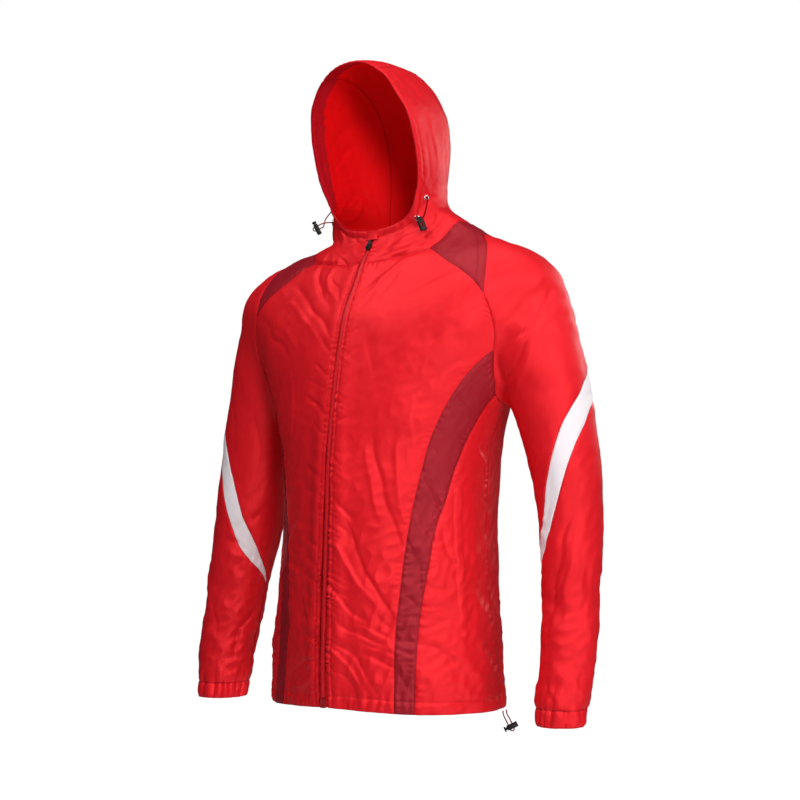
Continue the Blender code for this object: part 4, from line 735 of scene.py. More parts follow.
def cut_finer(grid, low, high, first, last):
    grid = denser(denser(grid, len(first) - 1, 0), len(low) - 1, 1)
    grid = grid + fill(low - grid[0], high - grid[-1], first - grid[:, 0], last - grid[:, -1])
    grid[1:-1, 1:-1] = settle(grid[1:-1, 1:-1])
    return grid


def denser(grid, cells, axis):
    """A grid's rows or columns read at more places, on smooth curves."""
    lines = np.moveaxis(grid, axis, 0)
    shape = lines.shape
    at = np.linspace(0, shape[0] - 1, cells + 1)
    lines = smooth_rows(np.arange(shape[0]), lines.reshape(shape[0], -1), at)
    return np.moveaxis(lines.reshape(cells + 1, *shape[1:]), 0, axis)


def even_out(grid, rounds):
    """The inner columns of a grid drawn apart and their points spread evenly, the outline kept."""
    grid = grid.copy()
    for _ in range(rounds):
        grid[1:-1, 1:-1] = settle((grid[1:-1, :-2] + 2 * grid[1:-1, 1:-1] + grid[1:-1, 2:]) / 4)
        for j in range(1, grid.shape[1] - 1):
            grid[:, j] = resample(grid[:, j], len(grid) - 1)
    grid[1:-1, 1:-1] = settle(grid[1:-1, 1:-1])
    return grid


def run_of(grid, axis):
    """How far each point of a grid lies from its first row or column, along the cloth."""
    step = np.linalg.norm(np.diff(grid, axis=axis), axis=2)
    return np.concatenate([np.zeros_like(np.take(step, [0], axis)), np.cumsum(step, axis)], axis)


def waver(along, seed):
    """A slow uneven wave along a seam, never the same twice."""
    return (np.sin(along * 620 + 3.1 * seed + 2.0 * np.sin(along * 97 + seed))
            * (0.55 + 0.45 * np.sin(along * 61 + 1.7 * seed)))


def panel(name, grid, finish, wall=WALL, lift=0.0, closed=False, extra=None, pucker=0.0007,
          held="hung", calm=False, inside=None, facing=None, body=JACKET, shove=None):
    """One piece of cloth: a grid of points moved out to its face and in to its back.

    inside is the finish of its back, and facing = (finish, width) that of a strip inside its last row."""
    grid = grid.copy()
    up, across = run_of(grid, 0), run_of(grid, 1)
    edges = dict(low=up, high=up[-1] - up, first=across, last=across[:, -1:] - across)
    out = normals(grid)
    height = fold_height(grid) + billow(grid) + lift
    if extra is not None:
        height = height + extra
    if not calm:
        near = [edges["low"], edges["high"]] + ([] if closed else [edges["first"], edges["last"]])
        for k, away in enumerate(near):
            along = across if k < 2 else up
            height -= EDGE_SINK * bell(away, 0, EDGE_WIDE)
            height += (pucker * waver(along, k + len(name)) * bell(away, PUCKER_AT, PUCKER_WIDE)
                       * (1 - bell(away, 0, PUCKER_CLEAR)))
    if name.startswith("hood"):
        height = flat_at_eyelets(grid, out, height)
    face = grid + out * height[..., None] + (0 if shove is None else shove)
    back = face - out * wall
    rows, columns = grid.shape[:2]
    count = rows * columns
    index = np.arange(count).reshape(rows, columns)
    if closed:
        index = np.concatenate([index, index[:, :1]], 1)
    quads = np.stack([index[:-1, :-1], index[:-1, 1:], index[1:, 1:], index[1:, :-1]], -1).reshape(-1, 4)
    faces = [quads, quads[:, ::-1] + count]
    rims = [index[0], index[-1][::-1]] + ([] if closed else [index[:, -1], index[:, 0][::-1]])
    for rim in rims:
        faces.append(np.stack([rim[1:], rim[:-1], rim[:-1] + count, rim[1:] + count], 1))
    points = np.concatenate([face.reshape(-1, 3), back.reshape(-1, 3)])
    thing = add_mesh(name, points, np.concatenate(faces), finish)
    twice = dict(cut_u=across, cut_v=up, **{f"edge_{key}": value for key, value in edges.items()})
    for key, value in twice.items():
        layer = thing.data.attributes.new(key, "FLOAT", "POINT")
        unsewn = UNSEWN if held == "laid" and key.startswith("edge") else 0.0
        layer.data.foreach_set("value", np.tile(value.reshape(-1) + unsewn, 2))
    settled = face if not closed else np.concatenate([face, face[:, :1]], 1)
    width = max(run_of(settled, 1)[:, -1].max(), LEAST_SHEET)
    length = max(run_of(settled, 0)[-1].max(), LEAST_SHEET)
    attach(thing, body)
    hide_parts(name)
    line_inside(thing, len(quads), edges["high"], inside, facing)
    return thing


def line_inside(thing, quads, from_last, inside, facing):
    """The back of the cloth in its own finish."""
    if inside is None:
        return
    thing.data.materials.append(inside)
    pick = np.zeros(len(thing.data.polygons), np.int32)
    pick[quads:2 * quads] = 1
    if facing is not None:
        thing.data.materials.append(facing[0])
        near = (from_last[:-1, :-1] + from_last[1:, 1:]).reshape(-1) / 2 < facing[1]
        pick[quads:2 * quads][near] = 2
    thing.data.polygons.foreach_set("material_index", pick)


def add_mesh(name, points, faces, finish):
    mesh = bpy.data.meshes.new(name + "_cloth")
    mesh.from_pydata(points.tolist(), [], faces.tolist())
    body = bmesh.new()
    body.from_mesh(mesh)
    if body.calc_volume(signed=True) < 0:
        bmesh.ops.reverse_faces(body, faces=body.faces)
    body.to_mesh(mesh)
    body.free()
    mesh.shade_smooth()
    mesh.set_sharp_from_angle(angle=radians(60))
    mesh.materials.append(finish)
    thing = bpy.data.objects.new(name + "_cloth", mesh)
    scene.collection.objects.link(thing)
    return thing


# ---- the garment's panels -----------------------------------------------------------------------------
def side_seams(side):
    """Every seam of one half of the garment, by name."""
    n = CELLS

    def inset(points):
        if side > 0:
            return points
        at, share = zip(*RIGHT_INSET_SHIFT)
        return [(x * np.interp(z, at, share), y, z) for x, y, z in points]

    lines = dict(
        neck_front=seam(NECK_FRONT, n["neck_front"], side),
        neck_side=seam(NECK_SIDE, n["neck_side"], side),
        yoke_front=seam(YOKE_FRONT, n["yoke_edge"], side),
        yoke_back=seam(YOKE_BACK, n["yoke_edge"], side),
        armhole_under=seam(ARMHOLE_UNDER, n["armhole_under"], side),
        armhole_inset=seam(ARMHOLE_INSET, n["armhole_inset"], side),
        armhole_front=seam(ARMHOLE_FRONT, n["armhole_front"], side),
        armhole_over=seam(ARMHOLE_OVER, n["armhole_over"], side),
        armhole_back=seam(ARMHOLE_BACK, n["armhole_back"], side),
        inset_front=seam(inset(INSET_FRONT), n["body_height"], side),
        inset_back=seam(inset(INSET_BACK), n["body_height"], side),
        side=seam(SIDE_SEAM, n["body_height"], side),
        zip=seam(ZIP_LINE, n["body_height"] + n["armhole_front"]),
        collar=seam(COLLAR_LINE, n["hood_height"]),
    )
    neck_back = seam(NECK_BACK, 60, side)
    split = int(np.argmin(np.abs(np.abs(neck_back[:, 0]) - HOOD_SEAM[-1][0])))
    lines["neck_back"] = resample(neck_back[:split + 1], n["neck_back_side"] * FINEST)
    lines["neck_middle"] = resample(neck_back[split:], n["neck_back_middle"] // 2 * FINEST)
    return lines


def row_at(start, end, cells, round_from):
    """A level row of cloth between two points, round the body."""
    a, b = to_round(np.array([start, end]), round_from)
    row = a + (b - a) * np.linspace(0, 1, cells * FINEST + 1)[:, None]
    row = settle(from_round(row, round_from))
    row[0], row[-1] = start, end
    return row


def build_torso(lines, finishes):
    n = CELLS
    for side, word in SIDES:
        s = lines[side]
        hem_inset_front, hem_inset_back = s["inset_front"][-1], s["inset_back"][-1]
        zip_edge = settle(s["zip"] + (side * ZIP_OPEN, 0, 0))
        zip_edge[:, 0] = side * ZIP_OPEN
        neck = s["neck_front"].copy()
        neck[0] = zip_edge[-1]
        front_edge = join(s["inset_front"][::-1], s["armhole_front"])
        hem = row_at(zip_edge[0], hem_inset_front, n["neck_front"] + n["yoke_edge"], 0)
        grid = span(hem, join(neck, s["yoke_front"]), zip_edge, front_edge, (12, 12 if side > 0 else 6))
        lift, shove = zip_ripple(grid, side)
        panel(f"front_{word}", grid, finishes["front"], extra=hem_band(grid) + lift, shove=shove)

        hem = row_at(hem_inset_front, hem_inset_back, n["armhole_inset"], side * pi / 4)
        grid = span(hem, s["armhole_inset"][::-1], s["inset_front"][::-1], s["inset_back"][::-1], (12, 12))
        panel(f"inset_{word}", grid, finishes["dark"], extra=hem_band(grid))

        hem = row_at(hem_inset_back, s["side"][-1], n["armhole_under"], side * pi / 2)
        grid = span(hem, s["armhole_under"][::-1], s["inset_back"][::-1], s["side"][::-1], (12, 12))
        panel(f"side_{word}", grid, finishes["hemmed"], extra=hem_band(grid))

        grid = span(s["armhole_over"], s["neck_side"], s["yoke_front"][::-1], s["yoke_back"][::-1], (12, 6))
        panel(f"yoke_{word}", grid, finishes["dark"])

    left, right = lines[1], lines[-1]
    top = join(left["yoke_back"][::-1], left["neck_back"], left["neck_middle"], right["neck_middle"][::-1],
               right["neck_back"][::-1], right["yoke_back"])
    left_edge = join(left["side"][::-1], left["armhole_back"][::-1])
    right_edge = join(right["side"][::-1], right["armhole_back"][::-1])
    hem = row_at(left_edge[0], right_edge[0], (len(top) - 1) // FINEST, pi)
    grid = span(hem, top, left_edge, right_edge, (6, 6), round_from=pi)
    panel("back", grid, finishes["hemmed"], extra=hem_band(grid))


def zip_ripple(grid, side):
    """The front's edge stands up in uneven ripples, and wanders sideways, where it is sewn to the zip."""
    along, away = run_of(grid, 0), run_of(grid, 1)
    slant = along + 0.45 * away
    turn = slant * 345 + side + 1.3 * np.sin(along * 83 + side) + 0.8 * np.sin(along * 211)
    beat = np.abs(np.sin(turn)) ** 0.7
    strength = 0.35 + 0.65 * np.sin(along * 37 + 2 * side) ** 2
    strength = strength * np.interp(grid[..., 2], RIPPLE_LEVELS, RIPPLE_SHARES)
    reach = 0.011 + 0.009 * np.sin(along * 131 + side) ** 2
    topstitch = -0.0008 * bell(away, ZIP_STITCH, 0.0016)
    bulge = 0.0028 * bell(away, 0.016, 0.010) * np.interp(grid[..., 2], BULGE_LEVELS, BULGE_SHARES)
    strength = strength * np.clip(along / 0.035, 0, 1)
    shove = np.zeros(grid.shape)
    shove[..., 0] = -side * RIPPLE_ASIDE * (beat - 0.45) * strength * bell(away, 0, 0.006)
    return RIPPLE_UP * beat * strength * bell(away, 0, reach) + topstitch + bulge, shove


ZIP_STITCH = 0.0065
RIPPLE_UP, RIPPLE_ASIDE = 0.0034, 0.0026
RIPPLE_LEVELS, RIPPLE_SHARES = (-0.50, -0.30, -0.1), (1.15, 0.45, 0.45)     # by z, as are the bulge's
BULGE_LEVELS, BULGE_SHARES = (-0.69, -0.65, -0.40, -0.22), (0, 1, 1, 0.3)


def hem_band(grid):
    """The turned hem: a little thicker, with a pressed line where it is stitched."""
    up = run_of(grid, 0)
    across = run_of(grid, 1)
    band = HEM_PROUD / (1 + np.exp((up - HEM_STITCH) / 0.0012))
    line = -STITCH_SINK * bell(up, HEM_STITCH, 0.0026)
    ripple = 0.00055 * np.sin(across * 430 + 2.2 * np.sin(across * 71)) * bell(up, HEM_STITCH, 0.011)
    return band + line + ripple


def build_hood(lines, finishes):
    strip = []
    for side, word in SIDES:
        s = lines[side]
        neck = join(s["neck_front"], s["neck_side"], s["neck_back"])
        collar = settle(s["collar"] + (side * ZIP_OPEN, 0, 0))
        collar[:, 0] = side * ZIP_OPEN
        neck[0] = collar[0]
        rim = seam(HOOD_RIM[:12], (len(neck) - 1) // FINEST, side)
        rim[0] = collar[-1]
        crown = seam(HOOD_SEAM, CELLS["hood_height"], side)
        crown[-1] = neck[-1]
        rim[-1] = crown[0]
        grid = span(neck, rim, collar, crown[::-1], (6, 6))
        panel(f"hood_{word}", grid, finishes["hood"], extra=rim_casing(grid), inside=finishes["reverse"],
              facing=(finishes["facing"], HOOD_FACING))
        strip.append(crown)
    left, right = strip
    rim_top = np.array(HOOD_RIM[11:], float)
    full = np.concatenate([rim_top, rim_top[-2::-1] * (-1, 1, 1)])
    rim = seam(full, CELLS["neck_back_middle"])
    rim[0], rim[-1] = left[0], right[0]
    neck = join(lines[1]["neck_middle"], lines[-1]["neck_middle"][::-1])
    grid = span(neck, rim, left[::-1], right[::-1], (6, 12))
    panel("hood_centre", grid, finishes["hood"], extra=rim_casing(grid), inside=finishes["reverse"],
          facing=(finishes["facing"], HOOD_FACING))


RIM_CASING, RIM_PROUD, HOOD_FACING = 0.0120, 0.0007, 0.0380


def rim_casing(grid):
    """The casing that carries the drawcord round the face: a soft tube with a stitched line behind it."""
    away = run_of(grid, 0)
    away = away[-1] - away
    along = run_of(grid, 1)
    tube = RIM_PROUD * bell(away, RIM_CASING * 0.5, 0.0042)
    line = -STITCH_SINK * bell(away, RIM_CASING, 0.0024)
    ripple = 0.0004 * np.sin(along * 520 + 2 * np.sin(along * 83)) * bell(away, RIM_CASING, 0.008)
    return tube + line + ripple


def sleeve_columns(s, side):
    """For each armhole point, the line that the cloth follows from there down to the cuff."""
    armhole = join(*[s[part] for part in ARMHOLE])[::FINEST]
    at = np.cumsum([0] + [CELLS[part] for part in ARMHOLE])
    degrees = np.interp(np.arange(len(armhole)), at, ARMHOLE_DEGREES)
    arm = ARMS[side][::-1]
    columns = []
    for point, angle in zip(armhole, np.radians(degrees)):
        start = point * (side, 1, 1)

        def ring(z):
            x, y, r = (np.interp(z, arm[:, 2], arm[:, k]) for k in (0, 1, 3))
            return np.stack([x + r * cos(angle), y - r * sin(angle), z], -1)

        end = ring(np.array([SLEEVE_HEAD_END]))[0]
        t = np.linspace(0, 1, 25)[:, None]
        over = np.array((1.0, 0.0, 0.6)) * SHOULDER_ROUND * max(cos(angle), 0) * 4 * t * (1 - t)
        beside = np.array((1.0, 0.0, 0.2)) * ARMHOLE_BOW * sin(angle) ** 2 * 6.75 * t * (1 - t) ** 2
        head = start + (end - start) * t + over + beside
        below = ring(np.linspace(SLEEVE_HEAD_END, CUFF_BOTTOM, 40))
        line = settle(np.vstack([head, below[1:]]) * (side, 1, 1))
        line[0] = point
        columns.append(line)
    return columns, degrees


def column_to(line, z):
    """The stretches of a sleeve column above and below a height."""
    keep = int(np.argmax(line[:, 2] < z))
    a, b = line[keep - 1], line[keep]
    cut = a + (b - a) * (z - a[2]) / (b[2] - a[2])
    return np.vstack([line[:keep], cut]), np.vstack([cut, line[keep:]])


def gathers(turn, seed):
    """Round bulges of cloth drawn in by the elastic, with a sharp crease between each two."""
    uneven = turn / 2 + 0.45 * np.sin(turn / 3 + seed) + 0.35 * np.sin(turn / 7.5 + 2 * seed)
    return 2 * np.abs(np.sin(uneven)) ** 0.7 - 1


def build_sleeves(lines, finishes):
    n = CELLS
    for side, word in SIDES:
        columns, degrees = sleeve_columns(lines[side], side)
        parts = dict(upper=[], stripe=[], lower=[], cuff=[])
        for line, angle in zip(columns, degrees):
            top, bottom = (np.interp(angle, STRIPE[:, 0], STRIPE[:, k]) for k in (1, 2))
            piece, rest = column_to(line, top)
            parts["upper"].append(resample(piece, n["sleeve_head"]))
            piece, rest = column_to(rest, bottom)
            parts["stripe"].append(resample(piece, n["stripe"]))
            piece, rest = column_to(rest, CUFF_TOP)
            parts["lower"].append(resample(piece, n["lower_sleeve"]))
            parts["cuff"].append(resample(rest, n["cuff"]))
        grids = {key: np.array(value).transpose(1, 0, 2) for key, value in parts.items()}
        for key, up, across in (("upper", 8, 4), ("stripe", 8, 4), ("lower", 12, 4), ("cuff", 10, 8)):
            grid = grids[key].copy()
            if key != "cuff":
                grid[1:-1] = settle(grid[1:-1])
                grid = even_out(grid, 2)
            grid = denser(denser(grid, up * (len(grid) - 1), 0), across * (grid.shape[1] - 1), 1)
            grids[key] = settle(grid)
        grids["upper"][0] = join(*[lines[side][part] for part in ARMHOLE])[::FINEST // 4]
        panel(f"sleeve_upper_{word}", grids["upper"], finishes["shell"])
        panel(f"sleeve_stripe_{word}", grids["stripe"], finishes["white"])
        lower = grids["lower"]
        share = np.linspace(0, 1, len(lower))[:, None] ** 6
        turn = np.linspace(0, 2 * pi * CUFF_WAVES, lower.shape[1])[None, :]
        above = run_of(lower, 0)[-1] - run_of(lower, 0)
        reach = GATHER_FADE * (1 + 0.6 * np.sin(turn / 3 + side) + 0.4 * np.sin(turn / 5))
        gather = CUFF_WAVE_HEIGHT * gathers(turn, side) * np.exp(-(above / reach) ** 1.3)
        extra = SLEEVE_BLOUSE * share * (1 - share) * 3.2 + gather
        panel(f"sleeve_lower_{word}", lower, finishes["shell"], extra=extra, pucker=0.0)
        cuff = grids["cuff"][:, :-1]
        turn = np.linspace(0, 2 * pi * CUFF_WAVES, cuff.shape[1] + 1)[None, :-1]
        down = np.linspace(0, 1, len(cuff))[:, None]
        extra = CUFF_WAVE_HEIGHT * gathers(turn, side) * (1 - 0.3 * down) + CUFF_BULGE * np.sin(pi * down)
        panel(f"cuff_{word}", cuff, finishes["shell"], closed=True, extra=extra, pucker=0.0, held="gathered")


# ---- zip ------------------------------------------------------------------------------------------------
TAPE_REACH, TAPE_WALL, TAPE_LIFT = 0.0100, 0.0008, -0.0022
TAPE_COLUMNS = (0.0002, 0.0015, 0.0028, 0.0036, 0.0046, 0.0056, 0.0066, ZIP_OPEN, 0.0085, TAPE_REACH)
TAPE_DIP_AT = (0.0002, 0.0026, 0.0040, 0.0058, ZIP_OPEN, TAPE_REACH)
TAPE_DIP = (0.0, 0.0, 0.0008, 0.0006, -0.0004, -0.0015)
CHAIN_LIFT, CHAIN_WALL = -0.0002, 0.0014
GARAGE_HALF, GARAGE_FROM, GARAGE_TO = 0.0100, -0.0245, -0.0095
SLIDER_Z, TAPE_FROM, TEETH_FROM = -0.037, -0.6955, -0.6825
TOOTH, TOOTH_ASIDE, TOOTH_PITCH = (0.0031, 0.00105, 0.0012), 0.00125, 0.0019


def zip_middle(low, high, count):
    """Points up the middle of the front, between two heights."""
    whole = join(seam(ZIP_LINE, 24), seam(COLLAR_LINE, 6))
    levels = np.linspace(low, high, count)
    return np.stack([0 * levels, np.interp(levels, whole[:, 2], whole[:, 1]), levels], 1)


def strip(line, x_values):
    grid = np.array([[(x, y, z) for x in x_values] for _, y, z in line])
    grid = settle(grid)
    grid[..., 0] = x_values
    return grid


def build_zip(finishes):
    line = zip_middle(TAPE_FROM, GARAGE_TO - 0.0006, 400)
    for side, word in SIDES:
        across = side * np.array(TAPE_COLUMNS)
        dip = np.interp(np.abs(across), TAPE_DIP_AT, TAPE_DIP)
        grid = strip(line, across)
        ripple = 0.0005 * waver(run_of(grid, 0), side) * np.interp(np.abs(across), (0.003, 0.005), (0, 1))
        panel(f"zip_tape_{word}", grid, finishes["tape"], wall=TAPE_WALL, lift=TAPE_LIFT,
              extra=dip[None, :] + ripple, calm=True)
    garage = zip_middle(GARAGE_FROM, GARAGE_TO, 13)
    steps = np.linspace(-1, 1, 17)
    puff = 0.0012 * (1 - steps ** 2)[None, :] * np.sin(pi * np.linspace(0.15, 0.95, len(garage)))[:, None]
    panel("zip_garage", strip(garage, GARAGE_HALF * steps), finishes["shell"], extra=puff,
          wall=STRAP_WALL, lift=LAID_GAP + STRAP_WALL, calm=True, held="laid")


# ---- pockets --------------------------------------------------------------------------------------------
POCKET_TOP, POCKET_BOTTOM = (0.154, -0.057, -0.394), (0.170, -0.063, -0.598)
WELT_HALF = 0.0080


def build_pockets(finishes):
    for side, word in SIDES:
        middle = settle(np.linspace(POCKET_BOTTOM, POCKET_TOP, 91) * (side, 1, 1))
        across = np.cross(normals(middle), np.gradient(middle, axis=0))
        across /= np.linalg.norm(across, axis=1)[:, None]
        steps = np.linspace(-WELT_HALF, WELT_HALF, 13)
        grid = settle(middle[:, None] + across[:, None] * steps[None, :, None])
        crown = 0.0006 * (1 - (steps / WELT_HALF) ** 2)[None, :] * np.ones((len(grid), 1))
        panel(f"pocket_welt_{word}", grid, finishes["shell"], wall=STRAP_WALL, lift=LAID_GAP + STRAP_WALL,
              extra=crown, pucker=0.00015, held="laid")


# ---- cords, from each exit through its cord lock and back, in mm ------------------------------------------
CORD_THICK = 0.0018
# columns: x, y, z
ROUTES = dict(
    hood_cord_left=[
        (84.86, -30.58, 31.88), (87.83, -31.77, 31.65), (90.09, -40.48, 11.12), (83.59, -44.02, -8.91),
        (85.41, -46.41, -8.88), (91.23, -54.04, -8.77), (92.19, -55.08, -9.1), (93.09, -55.69, -10.05),
        (93.71, -55.71, -11.36), (93.88, -55.13, -12.68), (93.54, -54.11, -13.66), (92.8, -52.92, -14.02),
        (86.98, -45.29, -14.13), (85.16, -42.9, -14.17), (75.4, -41.48, 1.1), (73.55, -37.72, 1.41)],
    hood_cord_right=[
        (-92.21, -17.29, 40.55), (-95.29, -17.7, 41.31), (-104.9, -25.91, 25.69), (-99.39, -39.86, 9.62),
        (-101.59, -41.38, 8.26), (-108.62, -46.26, 3.91), (-109.79, -47.06, 3.61), (-110.92, -47.85, 4.06),
        (-111.71, -48.41, 5.14), (-111.96, -48.58, 6.55), (-111.58, -48.33, 7.93), (-110.7, -47.71, 8.9),
        (-103.66, -42.84, 13.25), (-101.47, -41.31, 14.61), (-96.86, -38.34, 16.11), (-96.11, -25.98, 19.02),
        (-93.11, -23.05, 18.81)],
    hem_cord_left=[
        (183.5, 22.0, -704.5), (183.5, 22.0, -708.5), (190.7, 18.66, -716.53), (192.11, 19.65, -720.14),
        (195.5, 22.03, -728.8), (195.71, 22.18, -730.23), (195.32, 21.91, -731.59), (194.41, 21.27, -732.53),
        (193.25, 20.46, -732.8), (192.13, 19.67, -732.32), (191.36, 19.13, -731.21), (187.97, 16.75, -722.55),
        (186.56, 15.76, -718.94), (183.5, 12.5, -709.0), (183.5, 12.5, -705.0)],
)


def smooth_path(points, spacing):
    """A smooth curve through listed points, read at even steps."""
    points = np.array(points, float)
    knots = np.concatenate([[0], np.cumsum(np.linalg.norm(np.diff(points, axis=0), axis=1) ** 0.5)])
    line = smooth_rows(knots, points, np.linspace(0, knots[-1], 600))
    length = np.linalg.norm(np.diff(line, axis=0), axis=1).sum()
    return resample(line, max(2, round(length / spacing)))


def build_cords(finishes):
    for name, route in ROUTES.items():
        path = smooth_path(np.array(route) / 1000, CORD_THICK)
        curve = bpy.data.curves.new(name + "_braid", "CURVE")
        curve.dimensions = "3D"
        curve.bevel_depth = CORD_THICK / 2
        curve.bevel_resolution = 4
        curve.use_fill_caps = True
        spline = curve.splines.new("POLY")
        spline.points.add(len(path) - 1)
        for point, place in zip(spline.points, path):
            point.co = (*place, 1)
        curve.materials.append(finishes["cord"])
        thing = bpy.data.objects.new(name + "_braid", curve)
        scene.collection.objects.link(thing)
        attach(thing, JACKET)
        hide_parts(name)


# ---- hard pieces: each is shaped at the origin by hand, then its place is given to its mesh ---------------
def only(thing):
    bpy.ops.object.select_all(action="DESELECT")
    thing.select_set(True)
    bpy.context.view_layer.objects.active = thing


def block(name, size, at=(0, 0, 0)):
    bpy.ops.object.select_all(action="DESELECT")
    bpy.ops.mesh.primitive_cube_add(size=1, location=at)
    thing = bpy.context.object
    thing.name = thing.data.name = name
    thing.scale = size
    bpy.ops.object.transform_apply(location=True, rotation=True, scale=True)
    return thing


def work_faces(thing, test, *steps):
    """The faces whose middle and normal pass the test are picked, then each step works them."""
    only(thing)
    bpy.ops.object.mode_set(mode="EDIT")
    bpy.ops.mesh.select_mode(type="FACE")
    bpy.ops.mesh.select_all(action="DESELECT")
    body = bmesh.from_edit_mesh(thing.data)
    for face in body.faces:
        face.select_set(bool(test(face.calc_center_median(), face.normal)))
    bmesh.update_edit_mesh(thing.data)
    for step, settings in steps:
        step(**settings)
    bpy.ops.object.mode_set(mode="OBJECT")


def round_edges(thing, along, width, parts):
    """The edges that run along one direction, rounded."""
    only(thing)
    bpy.ops.object.mode_set(mode="EDIT")
    bpy.ops.mesh.select_mode(type="EDGE")
    bpy.ops.mesh.select_all(action="DESELECT")
    body = bmesh.from_edit_mesh(thing.data)
    for edge in body.edges:
        line = (edge.verts[1].co - edge.verts[0].co).normalized()
        edge.select_set(abs(line.dot(Vector(along))) > 0.99)
    bmesh.update_edit_mesh(thing.data)
    bpy.ops.mesh.bevel(offset=width, segments=parts, affect="EDGES")
    bpy.ops.object.mode_set(mode="OBJECT")


def apply(thing, kind, **settings):
    only(thing)
    step = thing.modifiers.new("step", kind)
    for key, value in settings.items():
        setattr(step, key, value)
    bpy.ops.object.modifier_apply(modifier=step.name)


def carve(thing, tool, operation="DIFFERENCE"):
    apply(thing, "BOOLEAN", object=tool, operation=operation, solver="EXACT")
    bpy.data.objects.remove(tool)


def press(thing, way, rim, move):
    """The faces that look one way are framed by a rim, then moved."""
    work_faces(thing, lambda at, out: out.dot(Vector(way)) > 0.9,
               (INSET, dict(thickness=rim)), (MOVE, dict(value=move)))


def soften(thing, width, angle=35):
    apply(thing, "BEVEL", width=width, segments=2, limit_method="ANGLE", angle_limit=radians(angle))


def rounded_block(name, size, at, along, width, parts):
    thing = block(name, size, at)
    round_edges(thing, along, width, parts)
    return thing


def set_in_place(thing, matrix, finish, slot, body, *nodes):
    thing.data.transform(matrix)
    thing.data.materials.clear()
    thing.data.materials.append(finish)
    only(thing)
    bpy.ops.object.shade_smooth_by_angle(angle=radians(38))
    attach(thing, body)
    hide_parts(*nodes)


INSET, MOVE, RESIZE = bpy.ops.mesh.inset, bpy.ops.transform.translate, bpy.ops.transform.resize
BARREL, BARREL_MIDDLE, BORE = (0.0100, 0.0153, 0.0068), -0.00135, (0.0068, 0.0040)
SLOT_WIDE, SLOT_TALL, BORE_FLOOR = 0.0024, 0.0093, -0.0077
CAP, CAP_FROM = (0.0086, 0.0023, 0.0064), 0.0089
SHAFT, SHAFT_FROM, SHAFT_TO = (0.0062, 0.0034), -0.0049, 0.0092
SHAFT_SLOT_FROM, SHAFT_SLOT_TO = -0.00345, 0.00725
CUT_PAST = 0.02                     # a cut runs out past what it cuts
# Each cord lock: its middle, the way its button points, the way the cord runs through it, its button's body.
LOCKS = dict(
    hood_left=((0.0900, -0.0505, -0.0120), (-0.28, -0.20, 0.94), (0.60, -0.78, 0.0), "hood_button_left"),
    hood_right=((-0.1068, -0.0450, 0.0075), (-0.37, -0.26, 0.89), (-0.82, -0.57, 0.0), "hood_button_right"),
    hem_left=((0.1926, 0.0200, -0.7265), (-0.737, -0.517, -0.43), (0.352, 0.247, -0.90), "hem_button_left"),
)


def frame_at(place, across, up, out):
    turn = Matrix((across, up, out)).transposed().to_4x4()
    return Matrix.Translation(Vector(place)) @ turn


def build_cord_lock(name, finishes):
    """Across is x, along the lock y, and the cord runs through along z."""
    at, axis, through, body = LOCKS[name]
    axis = Vector(axis).normalized()
    through = Vector(through)
    through = (through - axis * through.dot(axis)).normalized()
    matrix = frame_at(at, axis.cross(through).normalized(), axis, through)

    barrel = block(f"cord_lock_{name}", BARREL, (0, BARREL_MIDDLE, 0))
    round_edges(barrel, (0, 1, 0), 0.0022, 4)
    for face in (1, -1):
        press(barrel, (0, 0, face), 0.0009, (0, 0, -0.0004 * face))
    press(barrel, (0, 1, 0), 0.0006, (0, 0.0002, 0))
    soften(barrel, 0.00035, 40)
    bore_at = (0, (CUT_PAST + BORE_FLOOR) / 2, 0)
    bore_size = (BORE[0], CUT_PAST - BORE_FLOOR, BORE[1])
    carve(barrel, rounded_block("bore", bore_size, bore_at, (0, 1, 0), 0.0010, 3))
    carve(barrel, rounded_block("slot", (SLOT_WIDE, SLOT_TALL, CUT_PAST), (0, 0, 0), (0, 0, 1), 0.0011, 4))
    set_in_place(barrel, matrix, finishes["black"], "black_plastic", JACKET, f"toggle_{name}")

    button = block(f"cord_button_{name}", CAP, (0, CAP_FROM + CAP[1] / 2, 0))
    round_edges(button, (0, 1, 0), 0.0019, 4)
    press(button, (0, 1, 0), 0.0008, (0, -0.0005, 0))
    soften(button, 0.0003, 40)
    shaft_at = (0, (SHAFT_FROM + SHAFT_TO) / 2, 0)
    shaft_size = (SHAFT[0], SHAFT_TO - SHAFT_FROM, SHAFT[1])
    carve(button, rounded_block("shaft", shaft_size, shaft_at, (0, 1, 0), 0.0006, 2), "UNION")
    slot_at = (0, (SHAFT_SLOT_FROM + SHAFT_SLOT_TO) / 2, 0)
    carve(button, block("slot", (SLOT_WIDE, SHAFT_SLOT_TO - SHAFT_SLOT_FROM, CUT_PAST), slot_at))
    set_in_place(button, matrix, finishes["black"], "black_plastic", body, f"toggle_button_{name}")


SLIDER, SLIDER_LIFT = (0.0084, 0.0112, 0.0022), 0.0018
BRIDGE, BRIDGE_Y, EYE = (0.0024, 0.0036, 0.0026), -0.002464, 0.0017
PULL, PULL_Y, PULL_TAPER = (0.0078, 0.01445, 0.0009), 0.006775, 0.577
WINDOW, WINDOW_Y = (0.0032, 0.0034, 0.01), 0.00215
BOX = (0.0088, 0.0115, 0.0030)
ACROSS = Vector((1, 0, 0))
ZIP_UP, ZIP_OUT = Vector((0, 0.55918, 0.82905)), Vector((0, -0.82905, 0.55918))
SLIDER_AT, HINGE_AT = (0.0, -0.056516, -0.037), (0.0, -0.06121, -0.03681)
BOX_AT = (0.0, -0.1618, -0.69056)
BOX_UP, BOX_OUT = Vector((0, -0.03858, 0.99926)), Vector((0, -0.99926, -0.03858))


